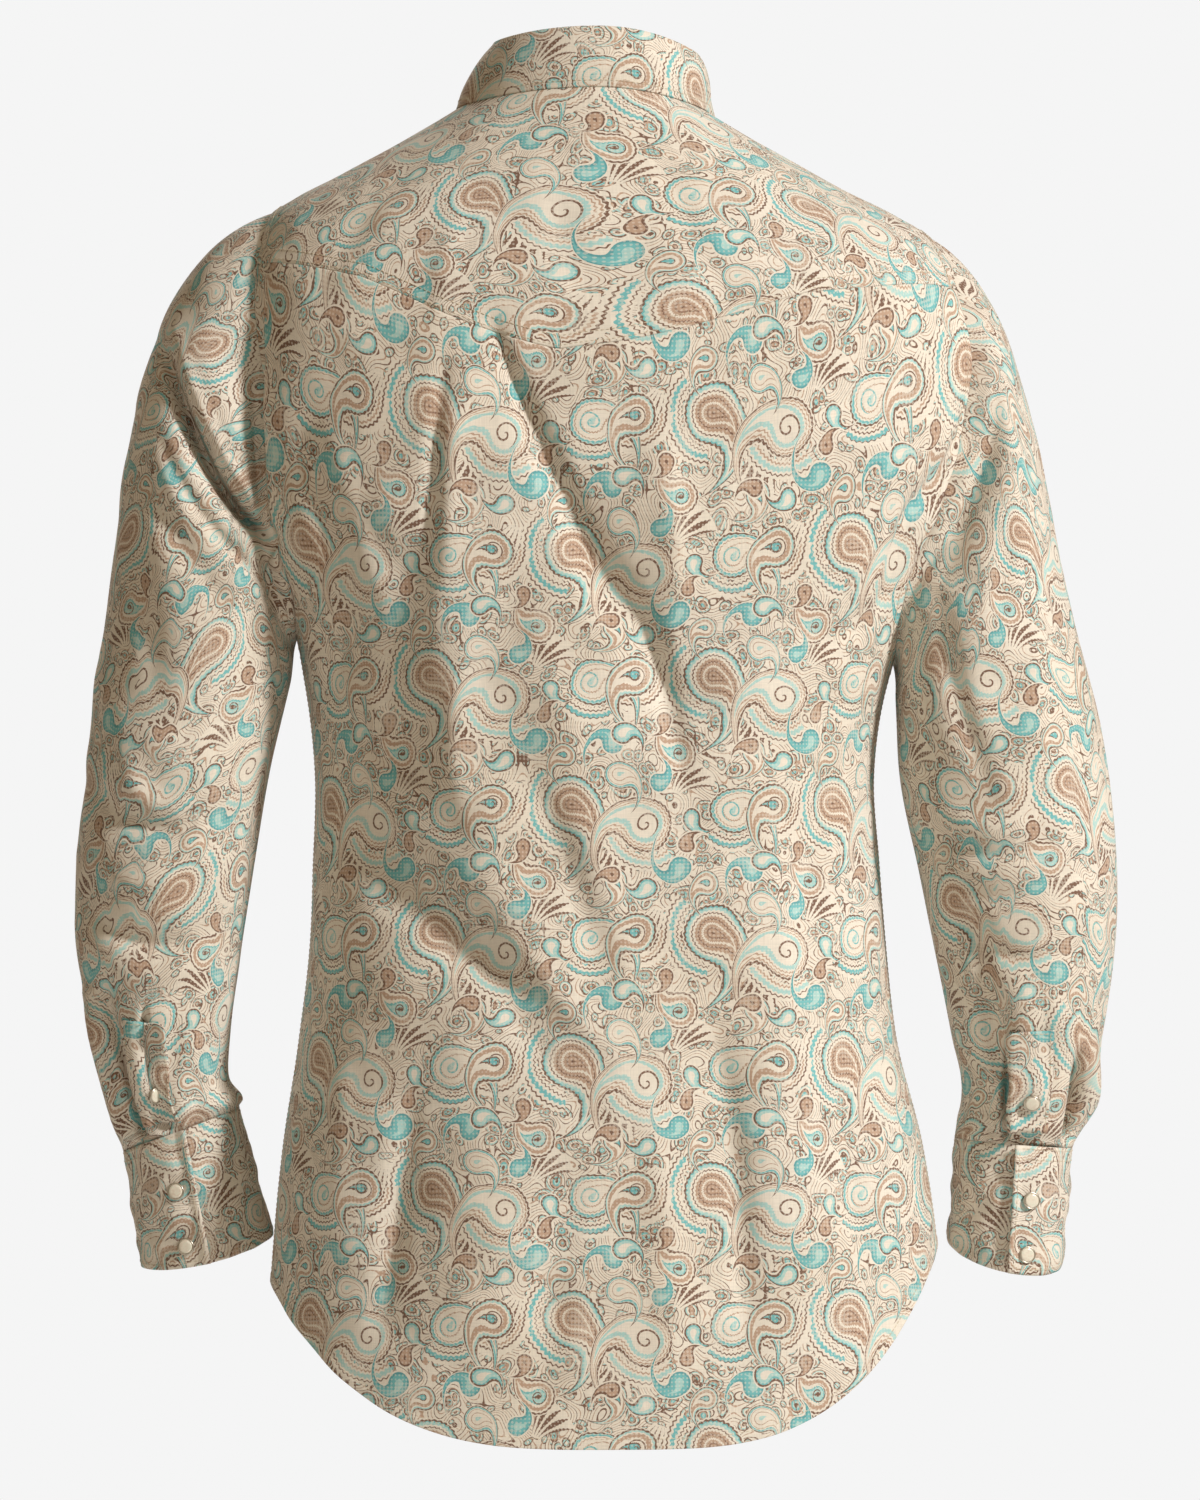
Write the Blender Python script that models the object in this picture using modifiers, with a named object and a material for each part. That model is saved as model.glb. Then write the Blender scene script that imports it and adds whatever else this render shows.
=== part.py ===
"""A long-sleeved western shirt as it hangs on a general figure, hollow, in metres, +Z up.

The origin is the centre of the neck base.  +X is the shirt's left side, +Y its back.  The torso is
a stack of rounded rings, each a superellipse, that runs smoothly from the neck seam over the
shoulders and down to the hem.  Every panel is a grid of points of that form, given a wall by
Solidify, and neighbouring panels share their seam points and stand a hair apart.  Each sleeve is a
loft from its armhole, which is cut out of the torso, through tilted rings to its cuff.
"""

import math

import bpy
import numpy as np
from mathutils import Vector

MM = 0.001

# Driving dimensions, in millimetres.
WALL = 1.5  # cloth
HALF_SEAM = 0.2  # each panel stops this far from its seam
SIDE_RADIUS = 180.0
HALF_SEAM_TURN = HALF_SEAM / 70  # the yoke's front seams, in radians round the neck
ARMHOLE_GAP = 0.8  # from the torso's edge to the sleeve
LAYER = 0.4  # air between one layer of cloth and the next
CUFF_GAP, SNAP_GAP = 0.5, 0.55
BODY_CENTRE_Y = -6.0
BACK_LENGTH_LEVEL = 817.0  # level of the hem at the centre back
FRONT_LENGTH_LEVEL = 797.0
HEM_RISE_LEFT, HEM_RISE_RIGHT = 94.0, 116.0  # shirttail curve, at the side seams
HEM_SHAPE_LEFT, HEM_SHAPE_RIGHT = 2.6, 3.2
FRONT_ROW_RISE = 6  # how soon the fronts' rows level out below the yoke
PLACKET_WIDTH = 35.0
LEFT_EDGE_X, RIGHT_EDGE_X = -15.0, -14.0  # each front's edge, counted toward its own side
UNDER_DIP = WALL + 1.7  # the right front and the stand's right end pass this far under the left
PLACKET_LIFT = WALL + 0.8
STAND_SEAM, STAND_LAP_TURN = 0.6, 2.84  # gap under the stand; phi where its right end starts to dip
UNDER_START, UNDER_RUN = 46.0, 14.0  # the dip starts this far to the right of the centre front
SNAP_DIAMETER, SNAP_HEIGHT = 10.4, 2.2
PLACKET_SNAPS, FIRST_SNAP_LEVEL, SNAP_PITCH = 7, 56.0, 88.0
YOKE_POINT_LEVEL, YOKE_POINT_HALF_TURN, YOKE_POINT_PHI = 172.0, 0.62, 0.06
YOKE_NECK_DEG = 113.0  # the yoke's front seams meet the neck here
YOKE_SEAM_LIFT = 24.0  # how far the seam rises between the armholes and the point
CUFF_LAP_DEG = 32.0
FALL_END_DEG, FALL_SPREAD_DEG = 165.0, 16.0  # where its front ends start at the fold, and how far they lean
FALL_BACK_LEVEL, FALL_SIDE_DROP, FALL_POINT_DROP = 4.0, 12.0, 46.0  # its lower edge, as torso levels
FALL_BULGE, FALL_FRONT_CLEAR, FALL_FRONT_TURN = 3.4, 3.0, 1.7
FALL_REST_CLEAR = 2.4  # the collar's points stand this far off the fronts
FOLD_OUT = np.array([-2.2, 0.4, 2.4])  # three rows over the stand's top edge, outward and up
FOLD_UP = np.array([2.1, 2.9, 0.6])
SLEEVE_PLACKET_WIDTH_DEG, SLEEVE_PLACKET_LENGTH = 32.0, 0.125

# Grid counts.
ARMHOLE_NODES = 24
YOKE_BACK_NODE, YOKE_FRONT_NODE = 3, 2  # armhole nodes, counted from the top, that the yoke ends at
BACK_COLUMNS, YOKE_ROWS, NECK_COLUMNS, HEM_ROWS = 22, 6, 5, 13
CAP_ROWS, ARM_ROWS = 10, 14
STAND_ROWS, FALL_COLUMNS, FALL_ROWS = 2, 44, 5
CUFF_COLUMNS, CUFF_ROWS = 32, 4

# The torso's rings.  Level counts downward along the cloth.  Left and right are half widths, back
# and front are y, and the z columns give the ring's height at each side, the back and the front.
RING_COLUMNS = "level left right back front left_z right_z back_z front_z power"
BODY_ROWS = [
    (0, 74, 56, 50, -72, 7, 5, 14, -58, 2.1),
    (30, 100, 84, 63, -86, -9, -12, -10, -76, 2.2),
    (60, 128, 116, 76, -96, -25, -30, -34, -94, 2.3),
    (90, 156, 148, 87, -104, -40, -48, -60, -112, 2.4),
    (120, 181, 178, 97, -111, -53, -63, -88, -132, 2.5),
    (145, 200, 202, 104, -116, -67, -78, -116, -152, 2.5),
    (170, 213, 221, 110, -120, -94, -102, -145, -172, 2.5),
    (200, 221, 235, 114, -123, -134, -138, -178, -199, 2.5),
    (235, 223, 239, 116, -124, -182, -184, -215, -226, 2.5),
    (270, 215, 222, 116, -122, -236, -236, -252, -256, 2.5),
    (300, 197, 202, 114, -120, -276, -276, -282, -284, 2.5),
    (335, 181, 184, 112, -118, -315, -315, -316, -316, 2.4),
    (365, 175, 174, 109, -116, -345, -345, -345, -345, 2.4),
    (420, 169, 166, 104, -111, -400, -400, -400, -400, 2.4),
    (470, 170, 169, 99, -107, -450, -450, -450, -450, 2.4),
    (520, 172, 173, 99, -106, -500, -500, -500, -500, 2.4),
    (580, 179, 180, 104, -109, -560, -560, -560, -560, 2.4),
    (640, 188, 195, 110, -114, -620, -620, -620, -620, 2.4),
    (700, 194, 204, 113, -118, -680, -680, -680, -680, 2.4),
    (830, 200, 210, 116, -121, -810, -810, -810, -810, 2.4),
]

# The collar stand's two rings, from the neck seam to its top edge.
STAND_ROWS_TABLE = [
    (0, 74, 56, 50, -72, 7, 5, 14, -58, 2.1),
    (1, 61, 60, 44, -66, 38, 31, 45, -30, 2.1),
]

# Armholes: sign of x, top and bottom level, and how far each spreads over the back and the front,
# in degrees.
ARMHOLES = {
    "left": (1, 137, 337, 27, 31),
    "right": (-1, 143, 352, 24, 31),
}
# Sleeve caps: how far the cap keeps its first direction, and how flat it leaves the shoulder.
CAPS = {"left": (1.05, 0.36), "right": (0.85, 0.12)}
CAP_SHARE = 0.45
CAP_SETTLE = 0.9  # how far it keeps the arm's direction at its lower end

# Sleeve rings.  Inner and outer are the points nearest to and farthest from the torso; x is
# counted outward, along is the distance from the first ring, lean raises the back of the ring.
SLEEVE_COLUMNS = "along inner_x inner_z outer_x outer_z centre_y half_y lean"
SLEEVES = {
    "left": [
        (0, 184, -345, 295, -306, 0, 66, 0),
        (60, 196, -396, 303, -368, 3, 64, 0),
        (120, 205, -450, 311, -436, 4, 60, 0),
        (180, 214, -508, 313, -498, 0, 56, 0),
        (225, 220, -552, 305, -546, -7, 53, 0),
        (262, 221, -583, 297, -590, -14, 50, 0),
        (288, 215, -599, 285, -625, -18, 40, 0),
    ],
    "right": [
        (0, 179, -354, 287, -310, 0, 66, 0),
        (60, 182, -404, 303, -374, 3, 64, 0),
        (120, 193, -457, 311, -440, 4, 60, 0),
        (180, 204, -512, 311, -500, 0, 56, 0),
        (225, 213, -556, 304, -552, -7, 53, 0),
        (262, 219, -590, 297, -592, -14, 50, 0),
        (288, 215, -617, 286, -623, -18, 40, 0),
    ],
}
CUFFS = {
    "left": [
        (0, 215, -599, 285, -625, -18, 40, 0),
        (1, 195, -674, 275, -692, -24, 38, -9),
    ],
    "right": [
        (0, 215, -617, 286, -623, -18, 40, 0),
        (1, 211, -677, 281, -691, -24, 38, -13),
    ],
}
CUFF_SLIT_DEG = {"left": 95.0, "right": 90.0}
SLEEVE_SLIT_DEG = {"left": 95.0, "right": 104.0}  # above the cuff

# Folds: soft troughs (negative) and ridges along a curve through three points, seen from the back
# (face 1) or from the front (face -1): face, x and z of the three points, width, depth.
FOLDS = [
    (1, 61, -138, 13, -240, -32, -318, 13, -7),
    (1, -32, -180, -37, -246, -34, -300, 22, 4),
    (1, -26, -296, -44, -354, -52, -414, 28, -6),
    (1, 85, -198, 80, -384, -2, -558, 22, 6),
    (1, 160, -378, 118, -462, 46, -528, 19, -7),
    (1, 100, -222, 109, -294, 118, -350, 14, -5),
    (1, 34, -324, 16, -384, -8, -474, 18, 4),
    (1, 172, -204, 152, -240, 136, -270, 15, -4),
    (1, 160, -316, 158, -336, 160, -356, 15, -4),
    (1, -204, -226, -180, -270, -168, -330, 15, -5),
    (1, -98, -474, -108, -590, -122, -690, 28, 6),
    (1, -60, -504, -74, -624, -80, -730, 25, -6),
    (1, 106, -580, 116, -650, 124, -716, 24, -6),
    (1, 60, -600, 66, -670, 70, -750, 26, 4),
    (1, -150, -380, -128, -440, -120, -500, 18, -4),
    (1, -146, -560, -152, -640, -164, -700, 20, -4),
    (1, 257, -153, 230, -214, 199, -250, 12, -6),
    (1, 240, -140, 218, -194, 201, -230, 11, 3),
    (1, 298, -414, 268, -434, 238, -426, 13, -5),
    (1, 301, -474, 268, -500, 236, -492, 14, -5),
    (1, -222, -474, -232, -540, -244, -594, 15, -4),
    (1, -240, -170, -226, -230, -200, -290, 16, -4),
    (1, 293, -556, 291, -585, 284, -618, 9, -6),
    (1, -292, -575, -288, -600, -284, -622, 8, -6),
    (-1, 62, -150, 40, -230, 30, -330, 18, -4),
    (-1, -66, -160, -48, -250, -34, -340, 20, -4),
    (-1, 168, -220, 140, -280, 120, -350, 18, -5),
    (-1, -176, -230, -146, -290, -128, -370, 18, -5),
    (-1, 120, -420, 90, -500, 60, -560, 22, -4),
    (-1, -130, -430, -98, -520, -70, -590, 22, -4),
    (-1, 96, -600, 100, -660, 110, -730, 26, 4),
    (-1, -90, -600, -98, -660, -104, -730, 26, 4),
    (-1, 290, -410, 262, -436, 228, -440, 13, -4),
    (-1, -292, -420, -262, -440, -226, -446, 13, -4),
]
FOLD_SAMPLES = 9

COLLECTION = "western_shirt"
CREAM, PEARL = (0.62, 0.55, 0.43, 1.0), (0.85, 0.83, 0.78, 1.0)


def column(rows, names, name, at):
    """A cubic through one column of a table, whose first column is the place along it."""
    table = np.array(rows, float)
    along, values = table[:, 0], table[:, names.split().index(name)]
    slopes = np.gradient(values, along)
    at = np.clip(at, along[0], along[-1])
    row = np.clip(np.searchsorted(along, at, side="right") - 1, 0, len(along) - 2)
    step = along[row + 1] - along[row]
    t = (at - along[row]) / step
    start = (2 * t**3 - 3 * t**2 + 1) * values[row] + (t**3 - 2 * t**2 + t) * step * slopes[row]
    end = (3 * t**2 - 2 * t**3) * values[row + 1] + (t**3 - t**2) * step * slopes[row + 1]
    return start + end


def smoothstep(t):
    t = np.clip(t, 0.0, 1.0)
    return t * t * (3 - 2 * t)


def lerp(a, b, t):
    return a + (b - a) * t


def unit(vectors):
    return vectors / np.maximum(np.linalg.norm(vectors, axis=-1, keepdims=True), 1e-9)


def ring_point(rows, names, phi, level):
    """A point of a table's ring: a superellipse with its own half width on each side."""
    value = {name: column(rows, names, name, level) for name in names.split()[1:]}
    sine, cosine = np.sin(phi), np.cos(phi)
    half = np.where(sine >= 0, value["left"], value["right"])
    depth = np.where(cosine >= 0, value["back"] - BODY_CENTRE_Y, BODY_CENTRE_Y - value["front"])
    end_z = np.where(cosine >= 0, value["back_z"], value["front_z"])
    side_z = np.where(sine >= 0, value["left_z"], value["right_z"])
    x = half * np.sign(sine) * np.abs(sine) ** (2 / value["power"])
    y = BODY_CENTRE_Y + depth * np.sign(cosine) * np.abs(cosine) ** (2 / value["power"])
    z = lerp(side_z, end_z, cosine**2)
    return np.stack([x, y, z], axis=-1)


def fold_shift(points, facing):
    """How far the folds move each point along y: a smooth bump around each fold's curve."""
    shift = np.zeros(points.shape[:-1])
    t = np.linspace(0, 1, FOLD_SAMPLES)
    for face, x0, z0, x1, z1, x2, z2, width, depth in FOLDS:
        bend_x, bend_z = 2 * x1 - (x0 + x2) / 2, 2 * z1 - (z0 + z2) / 2
        along_x = (1 - t) ** 2 * x0 + 2 * t * (1 - t) * bend_x + t**2 * x2
        along_z = (1 - t) ** 2 * z0 + 2 * t * (1 - t) * bend_z + t**2 * z2
        near = np.zeros(shift.shape)
        for k in range(FOLD_SAMPLES - 1):
            run = np.array([along_x[k + 1] - along_x[k], along_z[k + 1] - along_z[k]])
            off_x, off_z = points[..., 0] - along_x[k], points[..., 2] - along_z[k]
            part = np.clip((off_x * run[0] + off_z * run[1]) / (run @ run), 0, 1)
            away = np.hypot(off_x - part * run[0], off_z - part * run[1])
            fade = np.sin(math.pi * np.clip((k + part) / (FOLD_SAMPLES - 1), 0.04, 0.96)) ** 0.5
            near = np.maximum(near, fade * np.exp(-((away / width) ** 2)))
        shift += face * depth * near * smoothstep(face * facing / 0.6)
    return shift


def body_point(phi, level):
    """A point of the torso's form with its folds, in millimetres."""
    phi, level = np.broadcast_arrays(np.asarray(phi, float), np.asarray(level, float))
    points = ring_point(BODY_ROWS, RING_COLUMNS, phi, level)
    points[..., 1] += fold_shift(points, np.cos(phi)) * smoothstep(level / 60)
    return points


def body_normal(phi, level):
    """The outward direction of the torso's form."""
    turn, drop = 0.01, 2.0
    across = body_point(phi + turn, level) - body_point(phi - turn, level)
    down = body_point(phi, level + drop) - body_point(phi, np.maximum(level - drop, 0))
    return unit(np.cross(across, down))


def hem_level(phi):
    """The shirttail hem: lowest at the centre back and front, highest at the side seams."""
    low = np.where(np.cos(phi) >= 0, BACK_LENGTH_LEVEL, FRONT_LENGTH_LEVEL)
    rise = np.where(np.sin(phi) >= 0, HEM_RISE_LEFT, HEM_RISE_RIGHT)
    rise = rise - (BACK_LENGTH_LEVEL - low)
    shape = np.where(np.sin(phi) >= 0, HEM_SHAPE_LEFT, HEM_SHAPE_RIGHT)
    return low - rise * np.abs(np.sin(phi)) ** shape


def armhole(side, turn):
    """Phi and level on an armhole's oval; turn is 0 at the shoulder and grows over the back."""
    sign, top, bottom, back_deg, front_deg = ARMHOLES[side]
    spread = np.radians(np.where(np.sin(turn) >= 0, back_deg, front_deg))
    phi = sign * (math.pi / 2 - spread * np.sin(turn))
    return phi, (top + bottom) / 2 - (bottom - top) / 2 * np.cos(turn)


def node_turns(first, last):
    """The armhole's own nodes from one to another, as turns."""
    way = np.sign(last - first)
    return np.arange(first, last + way, way) * 2 * math.pi / ARMHOLE_NODES


def yoke_seam():
    """The back yoke's seam as phi and level, from the right armhole to the left, with its point."""
    ends = {side: armhole(side, node_turns(YOKE_BACK_NODE, YOKE_BACK_NODE + 1)[0]) for side in ARMHOLES}
    share = np.linspace(0, 1, BACK_COLUMNS + 1)
    phi = lerp(ends["right"][0], ends["left"][0], share)
    level = lerp(ends["right"][1], ends["left"][1], share)
    flat_level = level - YOKE_SEAM_LIFT * np.sin(math.pi * share) ** 0.8
    point = np.clip(1 - np.abs(phi - YOKE_POINT_PHI) / YOKE_POINT_HALF_TURN, 0, 1) ** 1.15
    return phi, lerp(flat_level, YOKE_POINT_LEVEL, point)


def mesh_object(name, points, material, closed=False, wall=WALL, flip=False):
    """A grid of points in millimetres as an open surface with a wall that Solidify turns inward."""
    rows, columns = points.shape[:2]
    places = points.reshape(-1, 3) * MM
    step = np.arange(columns if closed else columns - 1)
    after = (step + 1) % columns
    faces = []
    for row in range(rows - 1):
        upper, lower = row * columns, (row + 1) * columns
        faces += [(upper + a, upper + b, lower + b, lower + a) for a, b in zip(step, after)]
    mesh = bpy.data.meshes.new(name)
    mesh.from_pydata(places.tolist(), [], [tuple(int(i) for i in face) for face in faces])
    if flip:
        mesh.flip_normals()
    mesh.materials.append(material)
    mesh.shade_smooth()
    thing = bpy.data.objects.new(name, mesh)
    bpy.data.collections[COLLECTION].objects.link(thing)
    shell = thing.modifiers.new("wall", "SOLIDIFY")
    shell.thickness, shell.offset = wall * MM, -1
    return thing


def make_back(cloth):
    """The back, below the yoke, between the armholes and the side seams."""
    top_phi, top_level = yoke_seam()
    sides = {}
    for side, edge in (("right", 0), ("left", -1)):
        turns = node_turns(YOKE_BACK_NODE, ARMHOLE_NODES // 2)
        phi, level = armhole(side, turns)
        sign = ARMHOLES[side][0]
        low = hem_level(np.array(sign * math.pi / 2))
        seam = np.linspace(level[-1], low, HEM_ROWS + 1)[1:]
        edge_phi = np.append(phi, np.full(HEM_ROWS, sign * math.pi / 2))
        sides[side] = edge_phi - sign * HALF_SEAM / SIDE_RADIUS, np.append(level, seam)
    share = np.linspace(0, 1, BACK_COLUMNS + 1)
    down = {side: (level - level[0]) / (level[-1] - level[0]) for side, (_, level) in sides.items()}
    part = lerp(down["right"][:, None], down["left"][:, None], share[None])
    phi = lerp(sides["right"][0][:, None], sides["left"][0][:, None], share[None])
    ends = lerp(sides["right"][0][-1], sides["left"][0][-1], share)
    level = lerp(top_level[None] + HALF_SEAM, hem_level(ends)[None], part)
    phi[0] = top_phi
    return mesh_object("back", body_point(phi, level), cloth)


def yoke_columns():
    """Phi and level of the yoke's outer edge, from its right front seam round to its left."""
    phi, level = yoke_seam()
    over = node_turns(YOKE_BACK_NODE - 1, -YOKE_FRONT_NODE)
    right_phi, right_level = armhole("right", over[::-1])
    left_phi, left_level = armhole("left", over)
    level = level - HALF_SEAM
    return np.concatenate([right_phi, phi, left_phi]), np.concatenate([right_level, level, left_level])


def yoke_grid():
    """Phi and level of the yoke's grid, from the neck out to its edge."""
    outer_phi, outer_level = yoke_columns()
    half = len(outer_phi) // 2
    neck_phi = (np.arange(len(outer_phi)) - half) / half * math.radians(YOKE_NECK_DEG)
    down = np.linspace(0, 1, YOKE_ROWS + 1)[:, None]
    return lerp(neck_phi[None], outer_phi[None], down), down * outer_level[None]


def make_yoke(cloth):
    """The one-piece yoke, over both shoulders and down to a point at the back."""
    phi, level = yoke_grid()
    phi[:, 0] += HALF_SEAM_TURN
    phi[:, -1] -= HALF_SEAM_TURN
    return mesh_object("yoke", body_point(phi, level), cloth)


def centre_phi(level, across):
    """Phi where the front's form is across millimetres to the left of the centre front."""
    half = column(BODY_ROWS, RING_COLUMNS, "left" if across >= 0 else "right", level)
    power = column(BODY_ROWS, RING_COLUMNS, "power", level)
    return math.pi - math.copysign(1, across) * np.arcsin((abs(across) / half) ** (power / 2))


def front_edge(side):
    """Phi, level and share of the way down, along a front's armhole and side seam."""
    sign = ARMHOLES[side][0]
    phi, level = armhole(side, node_turns(-YOKE_FRONT_NODE, -ARMHOLE_NODES // 2))
    low = hem_level(np.array(sign * (math.pi / 2 + 0.001)))
    phi = np.append(phi * sign, np.full(HEM_ROWS, math.pi / 2)) + HALF_SEAM / SIDE_RADIUS
    level = np.append(level, np.linspace(level[-1], low, HEM_ROWS + 1)[1:])
    return phi, level, (level - level[0]) / (level[-1] - level[0])


def front_levels(side, top_level, hem):
    """Levels of a front's grid.  Its rows leave the yoke's seam soon and meet the hem gently."""
    level, part = (values[:, None] for values in front_edge(side)[1:])
    from_top = (top_level - level[0])[None] * (1 - part) ** FRONT_ROW_RISE
    return level + from_top + (hem - level[-1])[None] * part**2


def front_grid(side, centre_x):
    """Phi and level of a front, from the armhole and side seam to centre_x, signed to its side."""
    sign = ARMHOLES[side][0]
    edge_phi, edge_level, part = front_edge(side)
    yoke_phi, yoke_level = yoke_grid()
    seam_phi = (yoke_phi[:, -1] if sign > 0 else -yoke_phi[:, 0])[::-1] + HALF_SEAM_TURN
    seam_level = (yoke_level[:, -1] if sign > 0 else yoke_level[:, 0])[::-1]
    centre_level = front_levels("left", np.zeros(1), np.array([FRONT_LENGTH_LEVEL]))[:, 0]
    end_phi = centre_phi(centre_level, sign * centre_x)
    end_phi = end_phi if sign > 0 else 2 * math.pi - end_phi
    top_phi = np.append(seam_phi, np.linspace(seam_phi[-1], end_phi[0], NECK_COLUMNS + 1)[1:])
    top_level = np.append(seam_level, np.zeros(NECK_COLUMNS))
    top_share = ((top_phi - edge_phi[0]) / (top_phi[-1] - edge_phi[0]))[None]
    even = np.linspace(0, 1, len(top_phi))[None]
    share = lerp(top_share, even, smoothstep(part[:, None] * FRONT_ROW_RISE))
    phi = lerp(edge_phi[:, None], end_phi[:, None], share)
    phi[0] = top_phi
    level = front_levels(side, top_level, hem_level(sign * phi[-1]))
    level = level + (centre_level - level[:, -1])[:, None] * even**2
    return sign * phi, level


def make_front(side, cloth):
    """A front panel.  The right one dips under the left one behind the placket."""
    left = side == "left"
    phi, level = front_grid(side, LEFT_EDGE_X if left else RIGHT_EDGE_X)
    points = body_point(phi, level)
    if not left:
        dip = smoothstep((points[..., 0] + UNDER_START) / UNDER_RUN) * (points[..., 1] < 0)
        points -= body_normal(phi, level) * (dip * UNDER_DIP)[..., None]
    return mesh_object("front_" + side, points, cloth, flip=not left)


def placket_point(across, level):
    """The front placket's outer face, across millimetres left of the centre front."""
    half = column(BODY_ROWS, RING_COLUMNS, "left", level)
    power = column(BODY_ROWS, RING_COLUMNS, "power", level)
    phi = math.pi - np.sign(across) * np.arcsin((np.abs(across) / half) ** (power / 2))
    return body_point(phi, level) + body_normal(phi, level) * PLACKET_LIFT


def make_placket(cloth):
    """The strip down the centre front that carries the snaps."""
    edge = PLACKET_WIDTH / 2
    across = np.array([-edge, -edge / 2, edge / 2, edge])[None]
    level = front_grid("left", LEFT_EDGE_X)[1][:, -1:]
    across, level = np.broadcast_arrays(across, level)
    return mesh_object("front_placket", placket_point(across, np.maximum(level, 1.0)), cloth, flip=True)


def stand_point(phi, height):
    """The collar stand's outer face; past -pi its right end dips under the left one."""
    base = ring_point(STAND_ROWS_TABLE, RING_COLUMNS, phi, height)
    outward = unit(base * [1, 1, 0] - [0, BODY_CENTRE_Y, 0])
    dip = smoothstep((-phi - STAND_LAP_TURN) / 0.22) * UNDER_DIP
    base = base - outward * np.asarray(dip)[..., None]
    base[..., 2] += STAND_SEAM * (1 - height)
    return base


def stand_normal(phi, height):
    """The outward direction of the stand."""
    across = stand_point(phi + 0.02, height) - stand_point(phi - 0.02, height)
    down = stand_point(phi, height - 0.1) - stand_point(phi, height + 0.1)
    return unit(np.cross(across, down))


def make_stand(cloth):
    """The collar's stand, from the neck seam up, its front ends lapped, on the neck's own nodes."""
    yoke_phi = yoke_grid()[0][0]
    right, left = front_grid("right", RIGHT_EDGE_X)[0][0], front_grid("left", LEFT_EDGE_X)[0][0]
    phi = np.concatenate([right[:YOKE_ROWS:-1], yoke_phi, left[YOKE_ROWS + 1:]])[None]
    height = np.linspace(1, 0, STAND_ROWS + 1)[:, None]
    phi, height = np.broadcast_arrays(phi, height)
    return mesh_object("collar_stand", stand_point(phi, height), cloth)


def fall_grid(columns, rows):
    """The collar's turned-down fall: over the stand's edge, then out and down to lie on the yoke."""
    down = np.concatenate([np.zeros(len(FOLD_OUT)), np.linspace(0, 1, rows + 1)[1:]])[:, None]
    out = np.append(FOLD_OUT, np.zeros(rows))[:, None]
    up = np.append(FOLD_UP, np.zeros(rows))[:, None]
    share = np.linspace(-1, 1, columns + 1)[None]
    phi = share * np.radians(FALL_END_DEG - FALL_SPREAD_DEG * down)
    front = smoothstep((np.abs(phi) - FALL_FRONT_TURN) / 0.5)
    fold = stand_point(phi, np.ones_like(phi))
    outward = unit(fold * [1, 1, 0] - [0, BODY_CENTRE_Y, 0])
    fold = fold + outward * (out + FALL_FRONT_CLEAR * front)[..., None]
    fold[..., 2] += up
    side_drop = FALL_SIDE_DROP * np.sin(np.abs(share) * math.pi / 2) ** 2
    level = FALL_BACK_LEVEL + side_drop + FALL_POINT_DROP * smoothstep((np.abs(share) - 0.62) / 0.38)
    level = level + 0 * phi
    rest = body_point(phi, level)
    rest = rest + body_normal(phi, level) * (WALL + 2 * LAYER + FALL_REST_CLEAR * front)[..., None]
    bulge = FALL_BULGE * np.sin(math.pi * down) ** 0.8 + FOLD_OUT[-1] * (1 - down) * (down > 0)
    return lerp(fold, rest, (down**1.25)[..., None]) + outward * (bulge + 0 * phi)[..., None]


def make_fall(cloth):
    """The collar itself, turned down over the stand."""
    return mesh_object("collar", fall_grid(FALL_COLUMNS, FALL_ROWS), cloth)


def ring_of(rows, sign, turn, along):
    """A point of a sleeve's or cuff's ring; turn is 0 at its outer side and grows over the back."""
    value = {name: column(rows, SLEEVE_COLUMNS, name, along) for name in SLEEVE_COLUMNS.split()[1:]}
    out = np.cos(turn)
    x = lerp(value["inner_x"], value["outer_x"], (1 + out) / 2)
    z = lerp(value["inner_z"], value["outer_z"], (1 + out) / 2) + value["lean"] * np.sin(turn)
    y = value["centre_y"] + value["half_y"] * np.sin(turn)
    return np.stack([sign * x, y, z], axis=-1)


def sleeve_point(side, turn, share):
    """A point of a sleeve: share is 0 at the armhole, CAP_SHARE at the first ring and 1 at the cuff."""
    sign, rows, cap = ARMHOLES[side][0], SLEEVES[side], CAP_SHARE
    turn, share = np.broadcast_arrays(np.asarray(turn, float), np.asarray(share, float))
    length = rows[-1][0]
    along = np.clip((share - cap) / (1 - cap), 0, 1) * length
    ring = ring_of(rows, sign, turn, along)
    phi, level = armhole(side, turn)
    start = body_point(phi, level)
    pull, flat = CAPS[side]
    out = np.cos(turn)
    leave = np.stack([0.62 + 0.34 * out, 0.2 * np.sin(turn), flat * out - 0.66], axis=-1)
    leave = unit(leave) * [sign, 1, 1]
    start = start + leave * 0.4 * ARMHOLE_GAP + np.array([sign * 0.8 * ARMHOLE_GAP, 0, 0])
    first = ring_of(rows, sign, turn, 0.0 * along)
    arrive = unit(ring_of(rows, sign, turn, 0.0 * along + 5) - first)
    reach = np.linalg.norm(first - start, axis=-1, keepdims=True)
    t = np.clip(share / cap, 0, 1)[..., None]
    arc = (2 * t**3 - 3 * t**2 + 1) * start + (t**3 - 2 * t**2 + t) * leave * reach * pull
    arc = arc + (3 * t**2 - 2 * t**3) * first + (t**3 - t**2) * arrive * reach * CAP_SETTLE
    points = np.where(t < 1, arc, ring)
    quiet = smoothstep(share / 0.12) * smoothstep((1 - share) / 0.06)
    points[..., 1] += fold_shift(points, np.sin(turn)) * quiet
    return points


def make_sleeve(side, cloth):
    """A sleeve: a tube on the armhole's own nodes, closed along its seam, down to its cuff."""
    turn = (np.arange(ARMHOLE_NODES) * 2 * math.pi / ARMHOLE_NODES)[None]
    cap = np.linspace(0, CAP_SHARE, CAP_ROWS + 1)
    arm = np.linspace(CAP_SHARE, 1, ARM_ROWS + 1)[1:]
    share = np.concatenate([cap, arm])[:, None]
    points = sleeve_point(side, turn, share)
    return mesh_object("sleeve_" + side, points, cloth, closed=True, flip=side == "left")


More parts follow.
